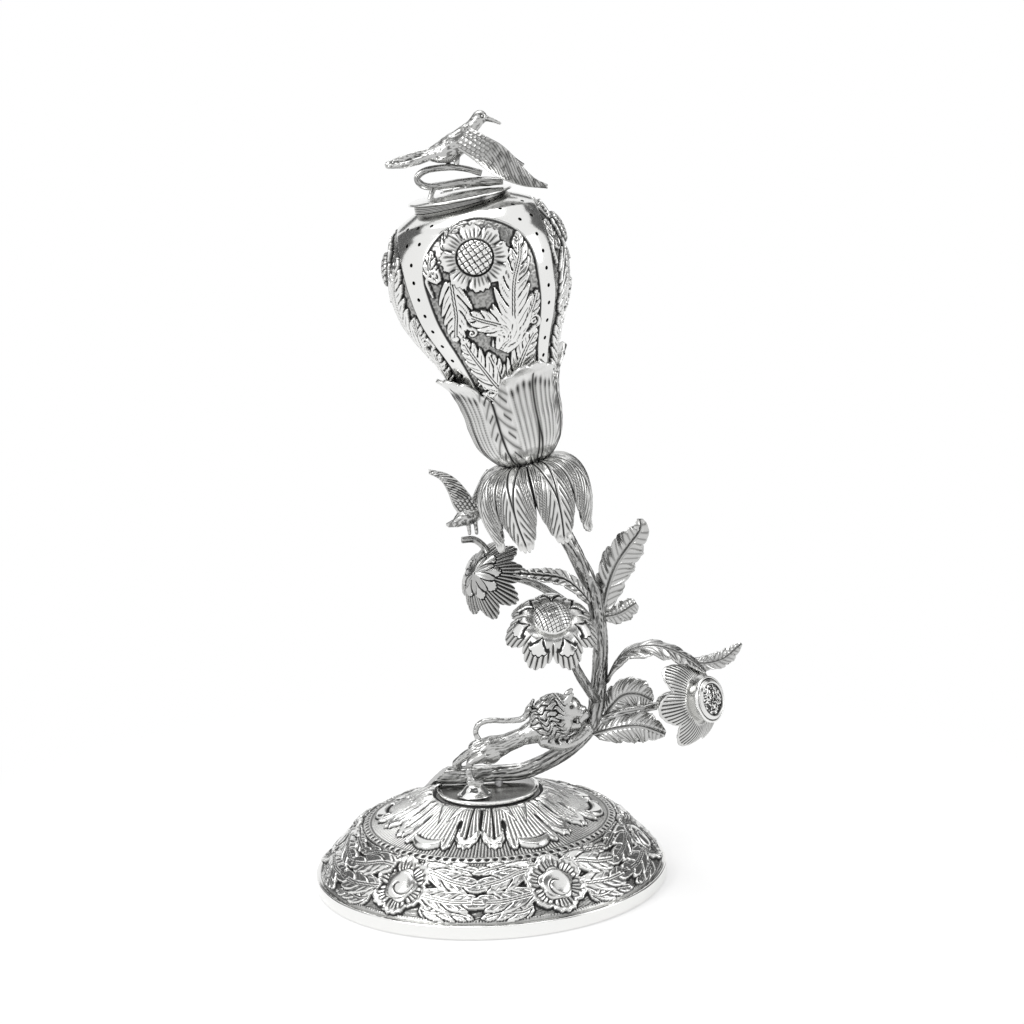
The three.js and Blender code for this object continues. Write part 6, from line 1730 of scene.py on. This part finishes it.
cast_bird(
    "small_bird_casting",
    [
        swept([(-7, 15.4, 95), (-3.6, 16, 97), (0.6, 16.6, 98.6), (3.8, 17, 101), (5.4, 17.2, 103.4)],
              [1.8, 3.6, 3.3, 2.1, 2.3]),
        swept([(6.4, 17.2, 103.2), (10, 17.4, 102.2)], [1.2, 0.3]),
        swept([(-2.6, 15.4, 95), (-2.3, 14.6, 91)], [0.9, 0.7]),
        swept([(0, 15.4, 95), (0.3, 14.6, 91)], [0.9, 0.7]),
        swept([(-5, 17, 96), (-7.6, 19.5, 94), (-10, 22.6, 92.7)], [1.6, 1.8, 1.2], flat=0.5),
    ],
    [
        ([(2.6, 15.2, 98), (-1.0, 14.4, 104.5), (-5.4, 14.2, 110.5), (-9.6, 14.4, 113.6), (-16.0, 15, 115.2)],
         [(-4.8, 15.2, 97.4), (-7.6, 14.4, 101.5), (-9.4, 14.2, 107), (-11.8, 14.4, 111.4),
          (-15.8, 15, 114.0)], -0.8),
        ([(-2.4, 18.4, 99.5), (0.4, 22.0, 105), (3.2, 26.0, 109.5), (5.4, 28.6, 111.6)],
         [(3.4, 18.8, 100.5), (5.2, 22.0, 103.4), (6.6, 25.6, 106.6), (6.2, 28.8, 110.6)], 0.8),
    ],
    on_plate, [(6.2, 15.2, 104.0), (6.2, 19.2, 104.0)], "small_bird", "stand", leaf_silver,
)

# The bird on the lid.
# Cast like the small one, but finer, with one wing spread over the lid's edge and a long flat tail.
cast_bird(
    "knob_bird_casting",
    [
        swept([(-8.4, 0, 14.6), (-4, 0, 14.2), (0, 0, 14.6), (4, 0, 16.4), (7.6, 0, 18.8), (10.6, 0, 20.8),
               (12.8, 0, 22.6)], [1.6, 3.4, 4.5, 4.4, 3.4, 2.4, 2.4]),
        blob((12.9, 0, 22.6), (2.7, 2.3, 2.5), -20),
        swept([(14.8, 0, 21.9), (17.2, 0, 20.5), (19.4, 0, 18.9)], [1.1, 0.8, 0.55], flat=0.8),
        swept([(2.2, -1.4, 12.4), (1.6, -1.2, 9.4)], [1.3, 1.0]),
        swept([(-1.4, 1.2, 11.8), (-1.2, 1.0, 10)], [1.2, 1.0]),
        swept([(-5.5, 0, 14.6), (-12, 0, 14.3), (-17, 0, 14.2), (-22, 0, 14.4)], [2.2, 2.6, 2.4, 1.3],
              flat=0.42),
        swept([(-6.5, -1.4, 14.0), (-14, -1.7, 13.4), (-21.6, -1.0, 14.0)], [1.2, 1.1, 0.6]),
    ],
    [
        ([(9.2, -2.2, 20.0), (12.6, -4.6, 17.0), (16.4, -6, 13.4), (19.8, -6.5, 9.8), (22.6, -6.5, 4.4),
          (26.2, -6, -1.6), (30.0, -6, -4.9)],
         [(1.6, -2.8, 15.6), (5.6, -4.5, 11.8), (9.6, -5.5, 7.0), (13.2, -6, 2.8), (17, -6.4, -0.2),
          (22.4, -6.4, -3.4), (30, -6, -5.9)], -1.5),
        ([(7.6, 2.6, 20.4), (11, 5, 17.4), (15, 6.6, 14), (18.4, 7.8, 10.6), (21.4, 8.4, 5.8),
          (24, 8.8, 2.4)],
         [(3.2, 2.6, 14.9), (7, 4.5, 11.4), (10.4, 6, 8), (13.6, 7.4, 5.6), (17.4, 8.2, 3.8),
          (23.4, 8.8, 1.8)], 1.4),
    ],
    on_lid, [(14.0, -2.15, 23.0), (14.0, 2.15, 23.0)], "knob_bird", "lid", cast_silver,
)
